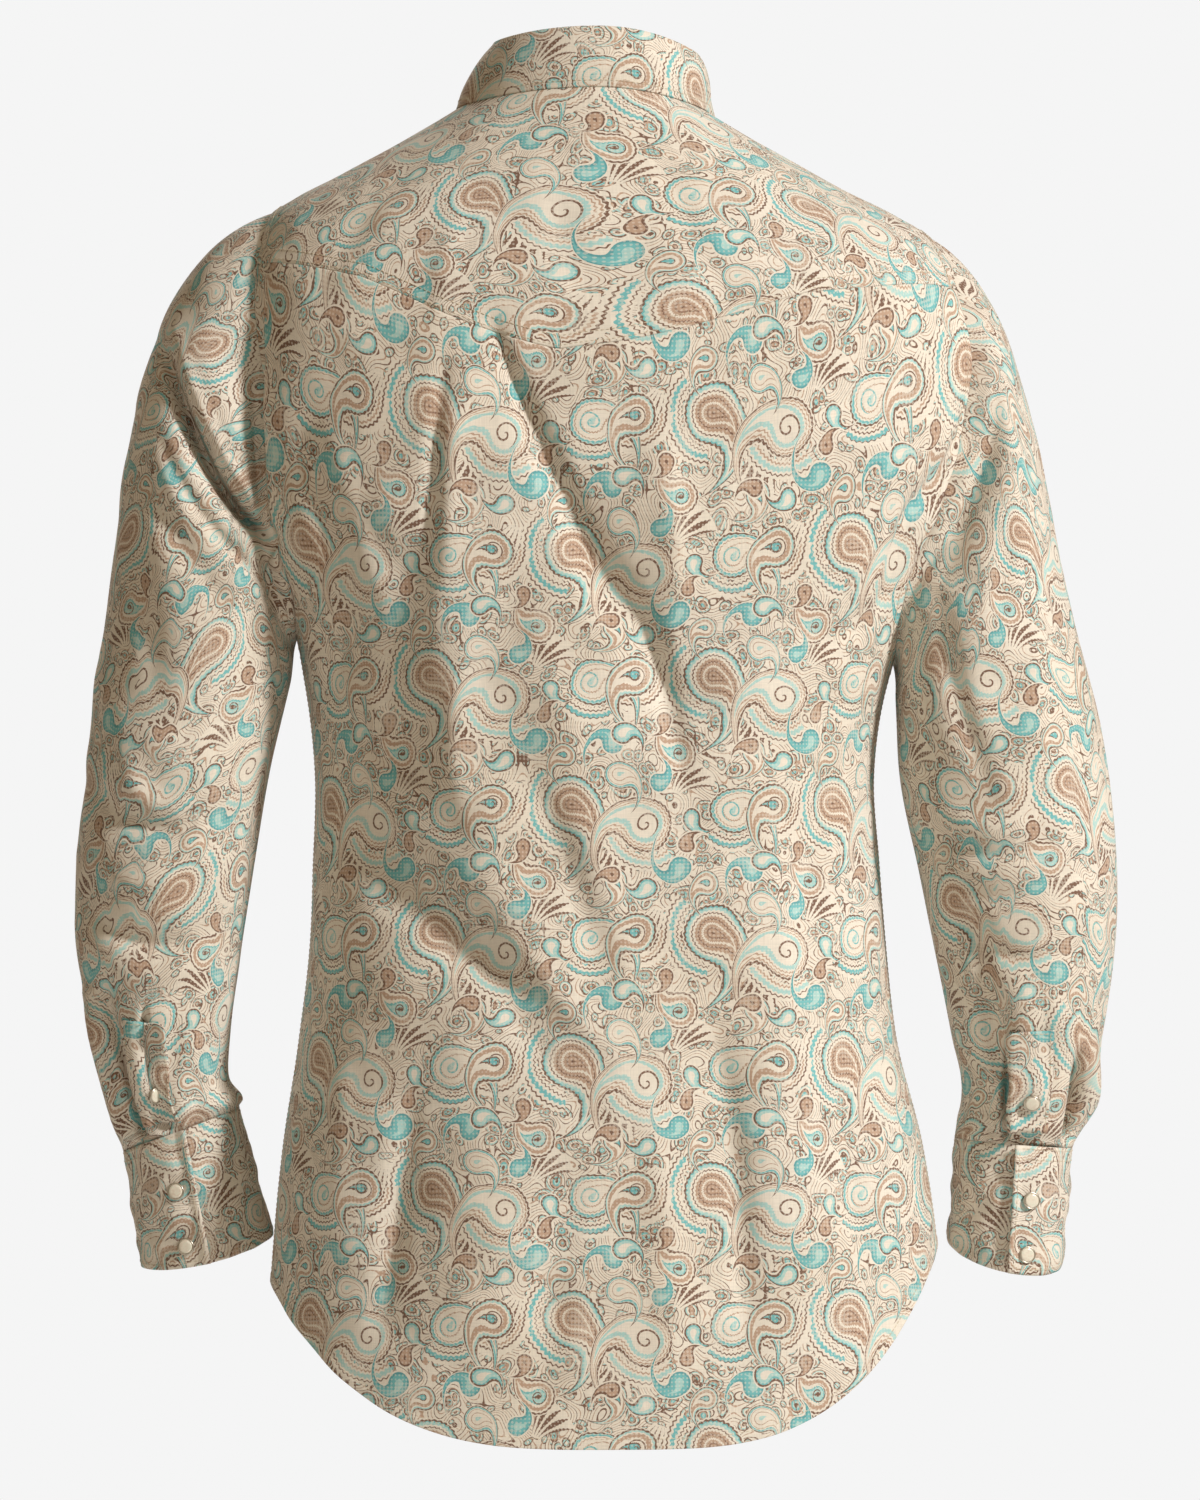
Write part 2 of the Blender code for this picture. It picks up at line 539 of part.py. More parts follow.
def cuff_point(side, turn, height, lift=0.0):
    """A point of a cuff's outer face, lifted outward; height is 0 at its seam and 1 at its edge."""
    sign, rows = ARMHOLES[side][0], CUFFS[side]
    point = ring_of(rows, sign, turn, height)
    centre = (ring_of(rows, sign, 0.0 * turn, height) + ring_of(rows, sign, 0.0 * turn + math.pi, height)) / 2
    outward = unit((point - centre) * [1, 1, 0])
    return point + outward * np.asarray(lift)[..., None]


def cuff_lap(side, turned):
    """How far the cuff's upper layer stands out, at an angle turned from its slit."""
    over = 1 - smoothstep((turned - math.radians(CUFF_LAP_DEG + 6)) / math.radians(50))
    return (WALL + LAYER + 0.15) * over


def make_cuff(side, cloth):
    """A cuff: one band round the wrist whose outer end laps over its inner end."""
    slit = math.radians(CUFF_SLIT_DEG[side])
    turned = np.linspace(0, 2 * math.pi + math.radians(CUFF_LAP_DEG), CUFF_COLUMNS + 1)[None]
    height = np.linspace(0, 1, CUFF_ROWS + 1)[:, None]
    turned, height = np.broadcast_arrays(turned, height)
    points = cuff_point(side, slit - turned, height, cuff_lap(side, turned))
    points = points - np.array([0, 0, CUFF_GAP])
    return mesh_object("cuff_" + side, points, cloth, flip=side == "right")


def sleeve_face(side, turn, share, lift):
    """A point lifted off a sleeve's outer face, with the outward direction there."""
    around = sleeve_point(side, turn + 0.02, share) - sleeve_point(side, turn - 0.02, share)
    down = sleeve_point(side, turn, share + 0.01) - sleeve_point(side, turn, share - 0.01)
    outward = unit(np.cross(down, around)) * ARMHOLES[side][0]
    return sleeve_point(side, turn, share) + outward * lift, outward


def slit_turn(side, share):
    """The turn of a sleeve's slit, which runs into the cuff's own slit at its lower end."""
    above, below = SLEEVE_SLIT_DEG[side], CUFF_SLIT_DEG[side]
    return np.radians(above + (below - above) * smoothstep((share - 0.95) / 0.07))


def make_sleeve_placket(side, cloth):
    """The strip beside the sleeve's slit, above the cuff."""
    share = np.linspace(1 - SLEEVE_PLACKET_LENGTH, 0.985, 8)[:, None]
    turn = slit_turn(side, share) - np.linspace(0, math.radians(SLEEVE_PLACKET_WIDTH_DEG), 5)[None]
    turn, share = np.broadcast_arrays(turn, share)
    points = sleeve_face(side, turn, share, WALL + LAYER + 0.3)[0]
    return mesh_object("sleeve_placket_" + side, points, cloth, flip=side == "right")


def make_snap(name, place, outward, pearl):
    """A round pearl snap cap, flat on the cloth under it."""
    radius, height = SNAP_DIAMETER / 2 * MM, SNAP_HEIGHT * MM
    bpy.ops.mesh.primitive_cylinder_add(vertices=12, radius=radius, depth=height)
    snap = bpy.context.object
    snap.name = snap.data.name = name
    direction = Vector(outward.tolist())
    lift = SNAP_HEIGHT / 2 + SNAP_GAP
    snap.location = Vector(((place + outward * lift) * MM).tolist())
    snap.rotation_euler = direction.to_track_quat("Z", "Y").to_euler()
    snap.data.materials.append(pearl)
    for group in list(snap.users_collection):
        group.objects.unlink(snap)
    bpy.data.collections[COLLECTION].objects.link(snap)
    return snap


def make_snaps(pearl):
    """Snaps: one on the stand, a row on the front placket, two on each cuff, one on each slit."""
    turn = np.array(math.pi + 0.02)
    place = stand_point(turn, np.array(0.45))
    make_snap("snap_stand", place, stand_normal(turn, np.array(0.45)), pearl)
    for number in range(PLACKET_SNAPS):
        level = np.array(FIRST_SNAP_LEVEL + SNAP_PITCH * number)
        place = placket_point(np.array(0.01), level)
        make_snap(f"snap_front_{number + 1}", place, body_normal(np.array(math.pi), level), pearl)
    for side in ARMHOLES:
        slit = math.radians(CUFF_SLIT_DEG[side])
        turn = np.array(slit - math.radians(17))
        for number, height in enumerate((0.42, 0.84)):
            lift = WALL + LAYER + 0.15
            place = cuff_point(side, turn, np.array(height), lift)
            centre = cuff_point(side, turn, np.array(height), -20.0)
            make_snap(f"snap_cuff_{side}_{number + 1}", place, unit(place - centre), pearl)
        share = np.array(0.955)
        turn = slit_turn(side, share) - math.radians(17)
        place, outward = sleeve_face(side, turn, share, WALL + LAYER + 0.3)
        make_snap(f"snap_slit_{side}", place, outward, pearl)


def material(name, colour, roughness):
    made = bpy.data.materials.new(name)
    made.use_nodes = True
    shader = made.node_tree.nodes["Principled BSDF"]
    shader.inputs["Base Color"].default_value = colour
    shader.inputs["Roughness"].default_value = roughness
    return made


def main():
    for thing in list(bpy.data.objects):
        bpy.data.objects.remove(thing)
    bpy.context.scene.collection.children.link(bpy.data.collections.new(COLLECTION))
    cloth = material("printed_cotton", CREAM, 0.85)
    pearl = material("pearl_snap", PEARL, 0.3)
    make_yoke(cloth)
    make_back(cloth)
    make_placket(cloth)
    make_stand(cloth)
    make_fall(cloth)
    for side in ARMHOLES:
        make_front(side, cloth)
        make_sleeve(side, cloth)
        make_cuff(side, cloth)
        make_sleeve_placket(side, cloth)
    make_snaps(pearl)


main()
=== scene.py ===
"""A printed western shirt, worn with no wearer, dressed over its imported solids.

Every panel is a numpy surface on the same form as its solid, with finer creases, laid-on seams,
topstitching, a drawn paisley print that follows the cloth, and pearl snaps.
"""

import math

import bpy
import numpy as np
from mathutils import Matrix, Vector


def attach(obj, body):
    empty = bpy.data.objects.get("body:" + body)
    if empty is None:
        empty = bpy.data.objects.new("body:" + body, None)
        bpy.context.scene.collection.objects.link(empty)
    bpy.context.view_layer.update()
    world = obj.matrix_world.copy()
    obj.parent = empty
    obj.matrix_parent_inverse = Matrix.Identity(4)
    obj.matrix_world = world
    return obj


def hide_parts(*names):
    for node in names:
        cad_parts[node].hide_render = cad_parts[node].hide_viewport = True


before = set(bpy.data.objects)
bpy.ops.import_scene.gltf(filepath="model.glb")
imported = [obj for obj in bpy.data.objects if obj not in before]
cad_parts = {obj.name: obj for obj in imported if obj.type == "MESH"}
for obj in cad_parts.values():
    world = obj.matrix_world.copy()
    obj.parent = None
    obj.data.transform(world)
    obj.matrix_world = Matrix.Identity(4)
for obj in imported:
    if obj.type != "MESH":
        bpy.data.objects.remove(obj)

bl_info = {
    "name": "Western shirt",
    "version": (1, 0, 0),
    "blender": (4, 5, 0),
    "location": "3D View > Sidebar > Shirt",
    "description": "Dresses a worn western shirt in printed cotton with pearl snaps",
    "category": "Add Mesh",
}

MM = 0.001
BODY = "root"

# ---------------------------------------------------------------- the form, in millimetres
WALL = 1.5
LAYER = 0.4
CUFF_GAP, SNAP_GAP = 0.15, 0.3
CUFF_LIFT, STRIP_LIFT = WALL + LAYER + 0.15, WALL + LAYER + 0.3
SIDE_RADIUS = 180.0
BODY_CENTRE_Y = -6.0
BACK_LENGTH_LEVEL, FRONT_LENGTH_LEVEL = 817.0, 797.0
HEM_RISE_LEFT, HEM_RISE_RIGHT = 94.0, 116.0
HEM_SHAPE_LEFT, HEM_SHAPE_RIGHT = 2.6, 3.2
FRONT_ROW_RISE = 6
PLACKET_WIDTH = 35.0
EDGE_X = {"left": -15.0, "right": -14.0}
UNDER_DIP, PLACKET_LIFT = WALL + 1.7, WALL + 0.8
STAND_SEAM, STAND_LAP_TURN = 0.6, 2.84
UNDER_START, UNDER_RUN = 46.0, 14.0
PLACKET_SNAPS, FIRST_SNAP_LEVEL, SNAP_PITCH = 7, 56.0, 88.0
YOKE_POINT_LEVEL, YOKE_POINT_HALF_TURN, YOKE_POINT_PHI = 172.0, 0.62, 0.06
YOKE_NECK_DEG = 113.0
YOKE_SEAM_LIFT = 24.0
CUFF_LAP_DEG = 32.0
FALL_END_DEG, FALL_SPREAD_DEG = 165.0, 16.0
FALL_BACK_LEVEL, FALL_SIDE_DROP, FALL_POINT_DROP = 4.0, 12.0, 46.0
FALL_BULGE, FALL_FRONT_CLEAR, FALL_FRONT_TURN = 3.4, 3.0, 1.7
FALL_REST_CLEAR, FALL_TUCK = 2.4, 0.7
FOLD_OUT = np.array([-2.2, 0.4, 2.4])
FOLD_UP = np.array([2.1, 2.9, 0.6])
SLEEVE_PLACKET_WIDTH_DEG, SLEEVE_PLACKET_LENGTH = 32.0, 0.125
NODE_TURN = math.pi / 12  # the solids' armholes have 24 nodes
YOKE_BACK_NODE, YOKE_FRONT_NODE = 3, 2
YOKE_SEAM_COLUMNS = 22
YOKE_LAST = 2.0 * (YOKE_BACK_NODE + YOKE_FRONT_NODE) + YOKE_SEAM_COLUMNS

RING_COLUMNS = "level left right back front left_z right_z back_z front_z power"
BODY_ROWS = [
    (0, 74, 56, 50, -72, 7, 5, 14, -58, 2.1),
    (30, 100, 84, 63, -86, -9, -12, -10, -76, 2.2),
    (60, 128, 116, 76, -96, -25, -30, -34, -94, 2.3),
    (90, 156, 148, 87, -104, -40, -48, -60, -112, 2.4),
    (120, 181, 178, 97, -111, -53, -63, -88, -132, 2.5),
    (145, 200, 202, 104, -116, -67, -78, -116, -152, 2.5),
    (170, 213, 221, 110, -120, -94, -102, -145, -172, 2.5),
    (200, 221, 235, 114, -123, -134, -138, -178, -199, 2.5),
    (235, 223, 239, 116, -124, -182, -184, -215, -226, 2.5),
    (270, 215, 222, 116, -122, -236, -236, -252, -256, 2.5),
    (300, 197, 202, 114, -120, -276, -276, -282, -284, 2.5),
    (335, 181, 184, 112, -118, -315, -315, -316, -316, 2.4),
    (365, 175, 174, 109, -116, -345, -345, -345, -345, 2.4),
    (420, 169, 166, 104, -111, -400, -400, -400, -400, 2.4),
    (470, 170, 169, 99, -107, -450, -450, -450, -450, 2.4),
    (520, 172, 173, 99, -106, -500, -500, -500, -500, 2.4),
    (580, 179, 180, 104, -109, -560, -560, -560, -560, 2.4),
    (640, 188, 195, 110, -114, -620, -620, -620, -620, 2.4),
    (700, 194, 204, 113, -118, -680, -680, -680, -680, 2.4),
    (830, 200, 210, 116, -121, -810, -810, -810, -810, 2.4),
]
STAND_ROWS_TABLE = [
    (0, 74, 56, 50, -72, 7, 5, 14, -58, 2.1),
    (1, 61, 60, 44, -66, 38, 31, 45, -30, 2.1),
]
# Sign of x, top and bottom level, spread over the back and the front in degrees.
ARMHOLES = {"left": (1, 137, 337, 27, 31), "right": (-1, 143, 352, 24, 31)}
CAPS = {"left": (1.05, 0.36), "right": (0.85, 0.12)}
CAP_SHARE, CAP_SETTLE = 0.45, 0.9
SLEEVE_COLUMNS = "along inner_x inner_z outer_x outer_z centre_y half_y lean"
SLEEVES = {
    "left": [
        (0, 184, -345, 295, -306, 0, 66, 0),
        (60, 196, -396, 303, -368, 3, 64, 0),
        (120, 205, -450, 311, -436, 4, 60, 0),
        (180, 214, -508, 313, -498, 0, 56, 0),
        (225, 220, -552, 305, -546, -7, 53, 0),
        (262, 221, -583, 297, -590, -14, 50, 0),
        (288, 215, -599, 285, -625, -18, 40, 0),
    ],
    "right": [
        (0, 179, -354, 287, -310, 0, 66, 0),
        (60, 182, -404, 303, -374, 3, 64, 0),
        (120, 193, -457, 311, -440, 4, 60, 0),
        (180, 204, -512, 311, -500, 0, 56, 0),
        (225, 213, -556, 304, -552, -7, 53, 0),
        (262, 219, -590, 297, -592, -14, 50, 0),
        (288, 215, -617, 286, -623, -18, 40, 0),
    ],
}
CUFFS = {
    "left": [
        (0, 215, -599, 285, -625, -18, 40, 0),
        (1, 195, -674, 275, -692, -24, 38, -9),
    ],
    "right": [
        (0, 215, -617, 286, -623, -18, 40, 0),
        (1, 211, -677, 281, -691, -24, 38, -13),
    ],
}
CUFF_SLIT_DEG = {"left": 95.0, "right": 90.0}
SLEEVE_SLIT_DEG = {"left": 95.0, "right": 104.0}
SNAP_TURN_DEG = 17.0  # from the slit to its snaps
CUFF_SNAP_HEIGHTS, SLIT_SNAP_SHARE = (0.42, 0.84), 0.955


def fold_rows(face, text):
    """A fold table's rows, with the face that they are seen from put first."""
    return [(face, *row) for row in np.array(text.split(), float).reshape(-1, 8)]


# Folds along a curve through three points, seen from the back (1) or the front (-1): x and z of
# the three points, width, depth.
FOLDS = [
    # the solids' own
    *fold_rows(1, """
61 -138 13 -240 -32 -318 13 -7
-32 -180 -37 -246 -34 -300 22 4
-26 -296 -44 -354 -52 -414 28 -6
85 -198 80 -384 -2 -558 22 6
160 -378 118 -462 46 -528 19 -6
100 -222 109 -294 118 -350 14 -5
34 -324 16 -384 -8 -474 18 4
172 -204 152 -240 136 -270 15 -4
160 -316 158 -336 160 -356 15 -4
-204 -226 -180 -270 -168 -330 15 -5
-98 -474 -108 -590 -122 -690 28 6
-60 -504 -74 -624 -80 -730 25 -6
106 -580 116 -650 124 -716 24 -6
60 -600 66 -670 70 -750 26 4
-150 -380 -128 -440 -120 -500 18 -4
-146 -560 -152 -640 -164 -700 20 -4
257 -153 230 -214 199 -250 12 -6
240 -140 218 -194 201 -230 11 3
298 -414 268 -434 238 -426 13 -5
301 -474 268 -500 236 -492 14 -5
-222 -474 -232 -540 -244 -594 15 -4
-240 -170 -226 -230 -200 -290 16 -4
293 -556 291 -585 284 -618 9 -6
-292 -575 -288 -600 -284 -622 8 -6
"""),
    *fold_rows(-1, """
62 -150 40 -230 30 -330 18 -4
-66 -160 -48 -250 -34 -340 20 -4
168 -220 140 -280 120 -350 18 -5
-176 -230 -146 -290 -128 -370 18 -5
120 -420 90 -500 60 -560 22 -4
-130 -430 -98 -520 -70 -590 22 -4
96 -600 100 -660 110 -730 26 4
-90 -600 -98 -660 -104 -730 26 4
290 -410 262 -436 228 -440 13 -4
-292 -420 -262 -440 -226 -446 13 -4
"""),
    # finer creases on the back, most of them a trough beside a ridge
    *fold_rows(1, """
62 -132 51 -160 38 -192 3.6 -4.6
48 -168 24 -222 4 -268 7 -4.4
14 -252 -12 -300 -40 -346 12 -4.6
50 -140 10 -232 -34 -306 8 3
-18 -286 -38 -336 -50 -400 7 -5.4
-36 -206 -46 -262 -44 -330 9 3
91 -158 97 -222 100 -284 4.4 -3.8
80 -166 86 -226 90 -290 7 2
158 -430 96 -482 30 -540 15 -3
112 -462 72 -494 34 -530 6 -2.4
150 -404 84 -448 18 -504 12 3
150 -398 124 -440 96 -470 7 -2.6
68 -470 30 -520 -12 -568 8 3.4
74 -500 40 -552 2 -604 9 -2.2
78 -330 84 -384 72 -440 8 2.6
22 -410 -4 -466 -20 -530 8 2.4
40 -398 14 -462 0 -520 8 -2.6
176 -200 156 -266 139 -306 7 -4.6
160 -196 142 -256 128 -290 8 2.4
150 -300 157 -330 163 -358 6 -3
166 -346 138 -380 112 -396 7 -2.6
-202 -222 -182 -268 -172 -340 7 -4.8
-186 -230 -168 -280 -156 -340 8 2.6
-214 -250 -178 -292 -140 -318 6 -2.8
-150 -390 -134 -430 -122 -480 6 -2.4
-164 -330 -130 -366 -92 -388 8 -2.2
-70 -550 -84 -640 -88 -736 8 -4.2
-30 -590 -42 -680 -44 -770 10 2.2
110 -590 121 -660 129 -722 8 -4.2
20 -630 26 -700 30 -780 11 -2.2
-140 -580 -150 -640 -160 -690 8 -2.2
150 -560 154 -620 160 -670 9 2
-96 -420 -112 -500 -118 -560 9 2.2
"""),
    # shoulders and yoke
    *fold_rows(1, """
110 -40 140 -70 168 -120 9 -2.4
-96 -36 -130 -66 -168 -112 9 -2
30 -30 24 -70 10 -110 10 -1.6
-40 -40 -60 -84 -84 -120 9 -1.8
84 -56 90 -100 100 -150 8 1.8
"""),
    # sleeves, from behind
    *fold_rows(1, """
261 -140 230 -217 194 -260 5.5 -5
260 -146 230 -219 195 -258 3.2 -23
201 -240 194 -280 185 -320 5 -9
262 -196 238 -240 200 -282 4.5 -4
252 -136 222 -210 190 -248 5 5
201 -130 203 -190 199 -246 2.8 -13
278 -186 256 -250 216 -300 8 -4.4
204 -286 211 -332 226 -380 7 -4.4
286 -246 270 -300 262 -366 10 -3.6
302 -326 286 -380 270 -414 8 3
304 -404 266 -430 236 -424 6 -4.2
300 -388 268 -414 238 -410 7 2.6
306 -446 280 -462 246 -458 6 2.8
306 -478 268 -500 236 -492 6 -4.2
300 -520 270 -530 238 -520 7 -3.2
250 -540 254 -570 262 -604 6 -3
272 -548 268 -580 262 -616 5 2.4
294 -530 281 -586 268 -622 2.8 -16
303 -530 293 -586 281 -620 4 12
220 -588 250 -602 280 -616 4.6 4
215 -586 220 -594 238 -604 6 5
266 -584 262 -604 256 -622 4 -4
270 -540 269 -562 264 -590 2.4 -9
262 -606 255 -610 245 -612 3.2 -9
236 -578 240 -600 240 -618 5 -3
-238 -170 -224 -230 -202 -290 7 -3.8
-223 -166 -214 -208 -184 -248 4.4 -5.5
-234 -170 -225 -212 -194 -258 5 3.4
-256 -190 -248 -250 -236 -310 8 -3
-206 -300 -214 -350 -232 -406 7 -4.2
-268 -280 -264 -340 -270 -400 9 2.8
-200 -430 -228 -446 -266 -440 6 -4
-198 -416 -228 -430 -266 -424 7 2.6
-214 -462 -240 -472 -280 -458 6 -2.8
-222 -488 -250 -508 -292 -500 6 -3.2
-224 -480 -234 -540 -244 -592 6 -3.8
-262 -520 -268 -560 -272 -600 7 -2.6
-288 -566 -286 -596 -280 -624 2.8 -15
-297 -564 -295 -596 -288 -624 4 9
-220 -605 -250 -609 -280 -612 4.6 3.2
-245.5 -556 -244 -594 -246 -632 2.2 -11
-232 -584 -236 -606 -236 -626 4 -3
"""),
    # front and sleeves from the front
    *fold_rows(-1, """
60 -158 42 -226 32 -316 7 -3
-64 -168 -50 -246 -38 -330 7 -3
170 -226 144 -278 124 -340 7 -4
-178 -236 -150 -288 -132 -360 7 -4
116 -430 90 -496 64 -552 8 -3.4
-126 -440 -98 -514 -74 -580 8 -3.4
140 -520 120 -580 108 -650 9 2.6
-140 -530 -122 -590 -112 -660 9 2.6
60 -590 64 -650 70 -720 9 -2.4
-60 -600 -64 -660 -72 -730 9 -2.4
288 -414 262 -436 230 -440 6 -3.8
-290 -424 -262 -440 -228 -446 6 -3.8
298 -470 268 -490 234 -480 7 -3
-298 -480 -264 -500 -228 -490 7 -3
250 -170 232 -220 210 -262 7 -4
-250 -180 -232 -230 -210 -272 7 -4
280 -250 266 -310 262 -360 8 -3.2
-278 -260 -262 -320 -258 -370 8 -3.2
"""),
]
FOLD_SAMPLES = 9
# Soft unevenness of the cloth: how fast it changes along x, y and z, in turns a metre, and its depth.
SOFTNESS = [
    (9, 5, 7, 0.55), (-6, 8, 13, 0.45), (15, -4, 11, 0.32), (5, 12, -19, 0.28),
    (23, 7, 4, 0.2), (-17, 9, 24, 0.18), (31, -11, -9, 0.13),
]


def hermite(t, a, b, u, v):
    """A cubic from a to b, which leaves along u and arrives along v."""
    start = (2 * t**3 - 3 * t**2 + 1) * a + (t**3 - 2 * t**2 + t) * u
    return start + (3 * t**2 - 2 * t**3) * b + (t**3 - t**2) * v


def column(rows, names, name, at):
    """A cubic through one column of a table, whose first column is the place along it."""
    along, values = np.array(rows, float)[:, [0, names.split().index(name)]].T
    slopes = np.gradient(values, along)
    at = np.clip(at, along[0], along[-1])
    row = np.clip(np.searchsorted(along, at, side="right") - 1, 0, len(along) - 2)
    step = along[row + 1] - along[row]
    t = (at - along[row]) / step
    return hermite(t, values[row], values[row + 1], step * slopes[row], step * slopes[row + 1])


def smoothstep(t):
    """3t squared minus 2t cubed, held to 0..1."""
    t = np.clip(t, 0.0, 1.0)
    return t * t * (3 - 2 * t)


def lerp(a, b, t):
    """a and b mixed by t."""
    return a + (b - a) * t


def unit(vectors):
    """Each vector over its own length."""
    return vectors / np.maximum(np.linalg.norm(vectors, axis=-1, keepdims=True), 1e-9)


def ring_point(rows, names, phi, level):
    """A superellipse: half width times sin(phi) to 2/power, depth times cos(phi) to 2/power."""
    value = {name: column(rows, names, name, level) for name in names.split()[1:]}
    sine, cosine = np.sin(phi), np.cos(phi)
    half = np.where(sine >= 0, value["left"], value["right"])
    depth = np.where(cosine >= 0, value["back"] - BODY_CENTRE_Y, BODY_CENTRE_Y - value["front"])
    end_z = np.where(cosine >= 0, value["back_z"], value["front_z"])
    side_z = np.where(sine >= 0, value["left_z"], value["right_z"])
    x = half * np.sign(sine) * np.abs(sine) ** (2 / value["power"])
    y = BODY_CENTRE_Y + depth * np.sign(cosine) * np.abs(cosine) ** (2 / value["power"])
    z = lerp(side_z, end_z, cosine**2)
    return np.stack([x, y, z], axis=-1)


def fold_shift(points, facing, wrap=0.0):
    """Depth times exp of minus (distance to the fold's curve over its width) squared, summed."""
    shift = np.zeros(points.shape[:-1])
    t = np.linspace(0, 1, FOLD_SAMPLES)
    x, z = points[..., 0], points[..., 2]
    for face, x0, z0, x1, z1, x2, z2, width, depth in FOLDS:
        bend_x, bend_z = 2 * x1 - (x0 + x2) / 2, 2 * z1 - (z0 + z2) / 2
        along_x = (1 - t) ** 2 * x0 + 2 * t * (1 - t) * bend_x + t**2 * x2
        along_z = (1 - t) ** 2 * z0 + 2 * t * (1 - t) * bend_z + t**2 * z2
        reach = 3 * width
        close = (x > along_x.min() - reach) & (x < along_x.max() + reach)
        close &= (z > along_z.min() - reach) & (z < along_z.max() + reach) & (face * facing > -wrap)
        near_x, near_z = x[close], z[close]
        near = np.zeros(near_x.shape)
        for k in range(FOLD_SAMPLES - 1):
            run = np.array([along_x[k + 1] - along_x[k], along_z[k + 1] - along_z[k]])
            off_x, off_z = near_x - along_x[k], near_z - along_z[k]
            part = np.clip((off_x * run[0] + off_z * run[1]) / (run @ run), 0, 1)
            away = np.hypot(off_x - part * run[0], off_z - part * run[1])
            fade = np.sin(math.pi * np.clip((k + part) / (FOLD_SAMPLES - 1), 0.04, 0.96)) ** 0.5
            near = np.maximum(near, fade * np.exp(-((away / width) ** 2)))
        shift[close] += depth * near * smoothstep((face * facing[close] + wrap) / 0.6)
    return shift


def softness(points):
    """A sum of slow sine waves over x, y and z, each with its own direction and depth."""
    total = np.zeros(points.shape[:-1])
    for number, (along_x, along_y, along_z, depth) in enumerate(SOFTNESS):
        wave = (points @ np.array([along_x, along_y, along_z])) * MM * 2 * math.pi
        total += depth * np.sin(wave + 1.7 * number + 0.8 * np.sin(wave * 0.37 + number))
    return total


def body_point(phi, level):
    """The torso's ring point, moved outward by the folds and the cloth's softness."""
    phi, level = np.broadcast_arrays(np.asarray(phi, float), np.asarray(level, float))
    points = ring_point(BODY_ROWS, RING_COLUMNS, phi, level)
    sine, facing = np.sin(phi), np.cos(phi)
    outward = [np.sign(sine) * np.abs(sine) ** 1.2 / 1.7, np.sign(facing) * np.abs(facing) ** 1.2, 0 * phi]
    move = fold_shift(points, facing) + softness(points) * np.clip(np.abs(facing) * 3, 0, 1)
    return points + unit(np.stack(outward, axis=-1)) * (move * smoothstep(level / 60))[..., None]


def body_normal(phi, level):
    """The cross product of the torso's slopes across and down."""
    turn, drop = 0.01, 2.0
    across = body_point(phi + turn, level) - body_point(phi - turn, level)
    down = body_point(phi, level + drop) - body_point(phi, np.maximum(level - drop, 0))
    return unit(np.cross(across, down))


def hem_level(phi):
    """The length at the centre less a rise times |sin(phi)| to a power."""
    low = np.where(np.cos(phi) >= 0, BACK_LENGTH_LEVEL, FRONT_LENGTH_LEVEL)
    rise = np.where(np.sin(phi) >= 0, HEM_RISE_LEFT, HEM_RISE_RIGHT) - (BACK_LENGTH_LEVEL - low)
    shape = np.where(np.sin(phi) >= 0, HEM_SHAPE_LEFT, HEM_SHAPE_RIGHT)
    return low - rise * np.abs(np.sin(phi)) ** shape


def armhole(side, turn, away=0.0):
    """Phi and level on an oval; turn is 0 at the shoulder, and away widens the oval all round."""
    sign, top, bottom, back_deg, front_deg = ARMHOLES[side]
    spread = np.radians(np.where(np.sin(turn) >= 0, back_deg, front_deg)) + away / SIDE_RADIUS
    phi = sign * (math.pi / 2 - spread * np.sin(turn))
    return phi, (top + bottom) / 2 - ((bottom - top) / 2 + away) * np.cos(turn)


def yoke_seam(share):
    """Phi and level of the back yoke's seam: a raised line with a point at the centre back."""
    ends = {side: armhole(side, YOKE_BACK_NODE * NODE_TURN) for side in ARMHOLES}
    phi = lerp(ends["right"][0], ends["left"][0], share)
    level = lerp(ends["right"][1], ends["left"][1], share)
    arch = np.sin(math.pi * np.clip(share, 0, 1)) ** 0.8
    point = np.clip(1 - np.abs(phi - YOKE_POINT_PHI) / YOKE_POINT_HALF_TURN, 0, 1) ** 1.15
    return phi, lerp(level - YOKE_SEAM_LIFT * arch, YOKE_POINT_LEVEL, point)


def yoke_edge(place):
    """The yoke's outer edge, round from its right front seam, 0, to its left front seam, 32."""
    first = YOKE_BACK_NODE + YOKE_FRONT_NODE
    last = first + YOKE_SEAM_COLUMNS
    right = armhole("right", (place - YOKE_FRONT_NODE) * NODE_TURN)
    left = armhole("left", (last + YOKE_BACK_NODE - place) * NODE_TURN)
    seam = yoke_seam((place - first) / YOKE_SEAM_COLUMNS)
    parts = [np.where(place < first, r, np.where(place > last, w, s)) for r, w, s in zip(right, left, seam)]
    return parts[0], parts[1]


def yoke_neck(place):
    """Phi at the neck for a place on the yoke's outer edge."""
    return (2 * place / YOKE_LAST - 1) * math.radians(YOKE_NECK_DEG)


def spread_out(start, end, count, fine=()):
    """Even steps from start to end, with finer ones, given as distances, near each end."""
    steps = np.linspace(start, end, count)
    close = np.asarray(fine, float) * math.copysign(1, end - start)
    steps = np.concatenate([[start], start + close, steps[1:-1], end - close, [end]])
    steps = np.unique(steps)
    return steps if end > start else steps[::-1]


def centre_phi(level, across, side):
    """Phi where the front's form is across millimetres to the left of the centre front."""
    half, power = (column(BODY_ROWS, RING_COLUMNS, name, level) for name in (side, "power"))
    return math.pi - np.sign(across) * np.arcsin((np.abs(across) / half) ** (power / 2))


HEM_STEPS = np.array([10, 8.6, 7.4, 6.8, 6.2, 5.6, 4.6, 3, 1.4, 0.5])


def down_levels(start, low, count):
    """Levels from start to the hem, with finer steps over the hem's fold."""
    return np.concatenate([np.linspace(start, low - 14, count)[1:], low - HEM_STEPS, [low]])


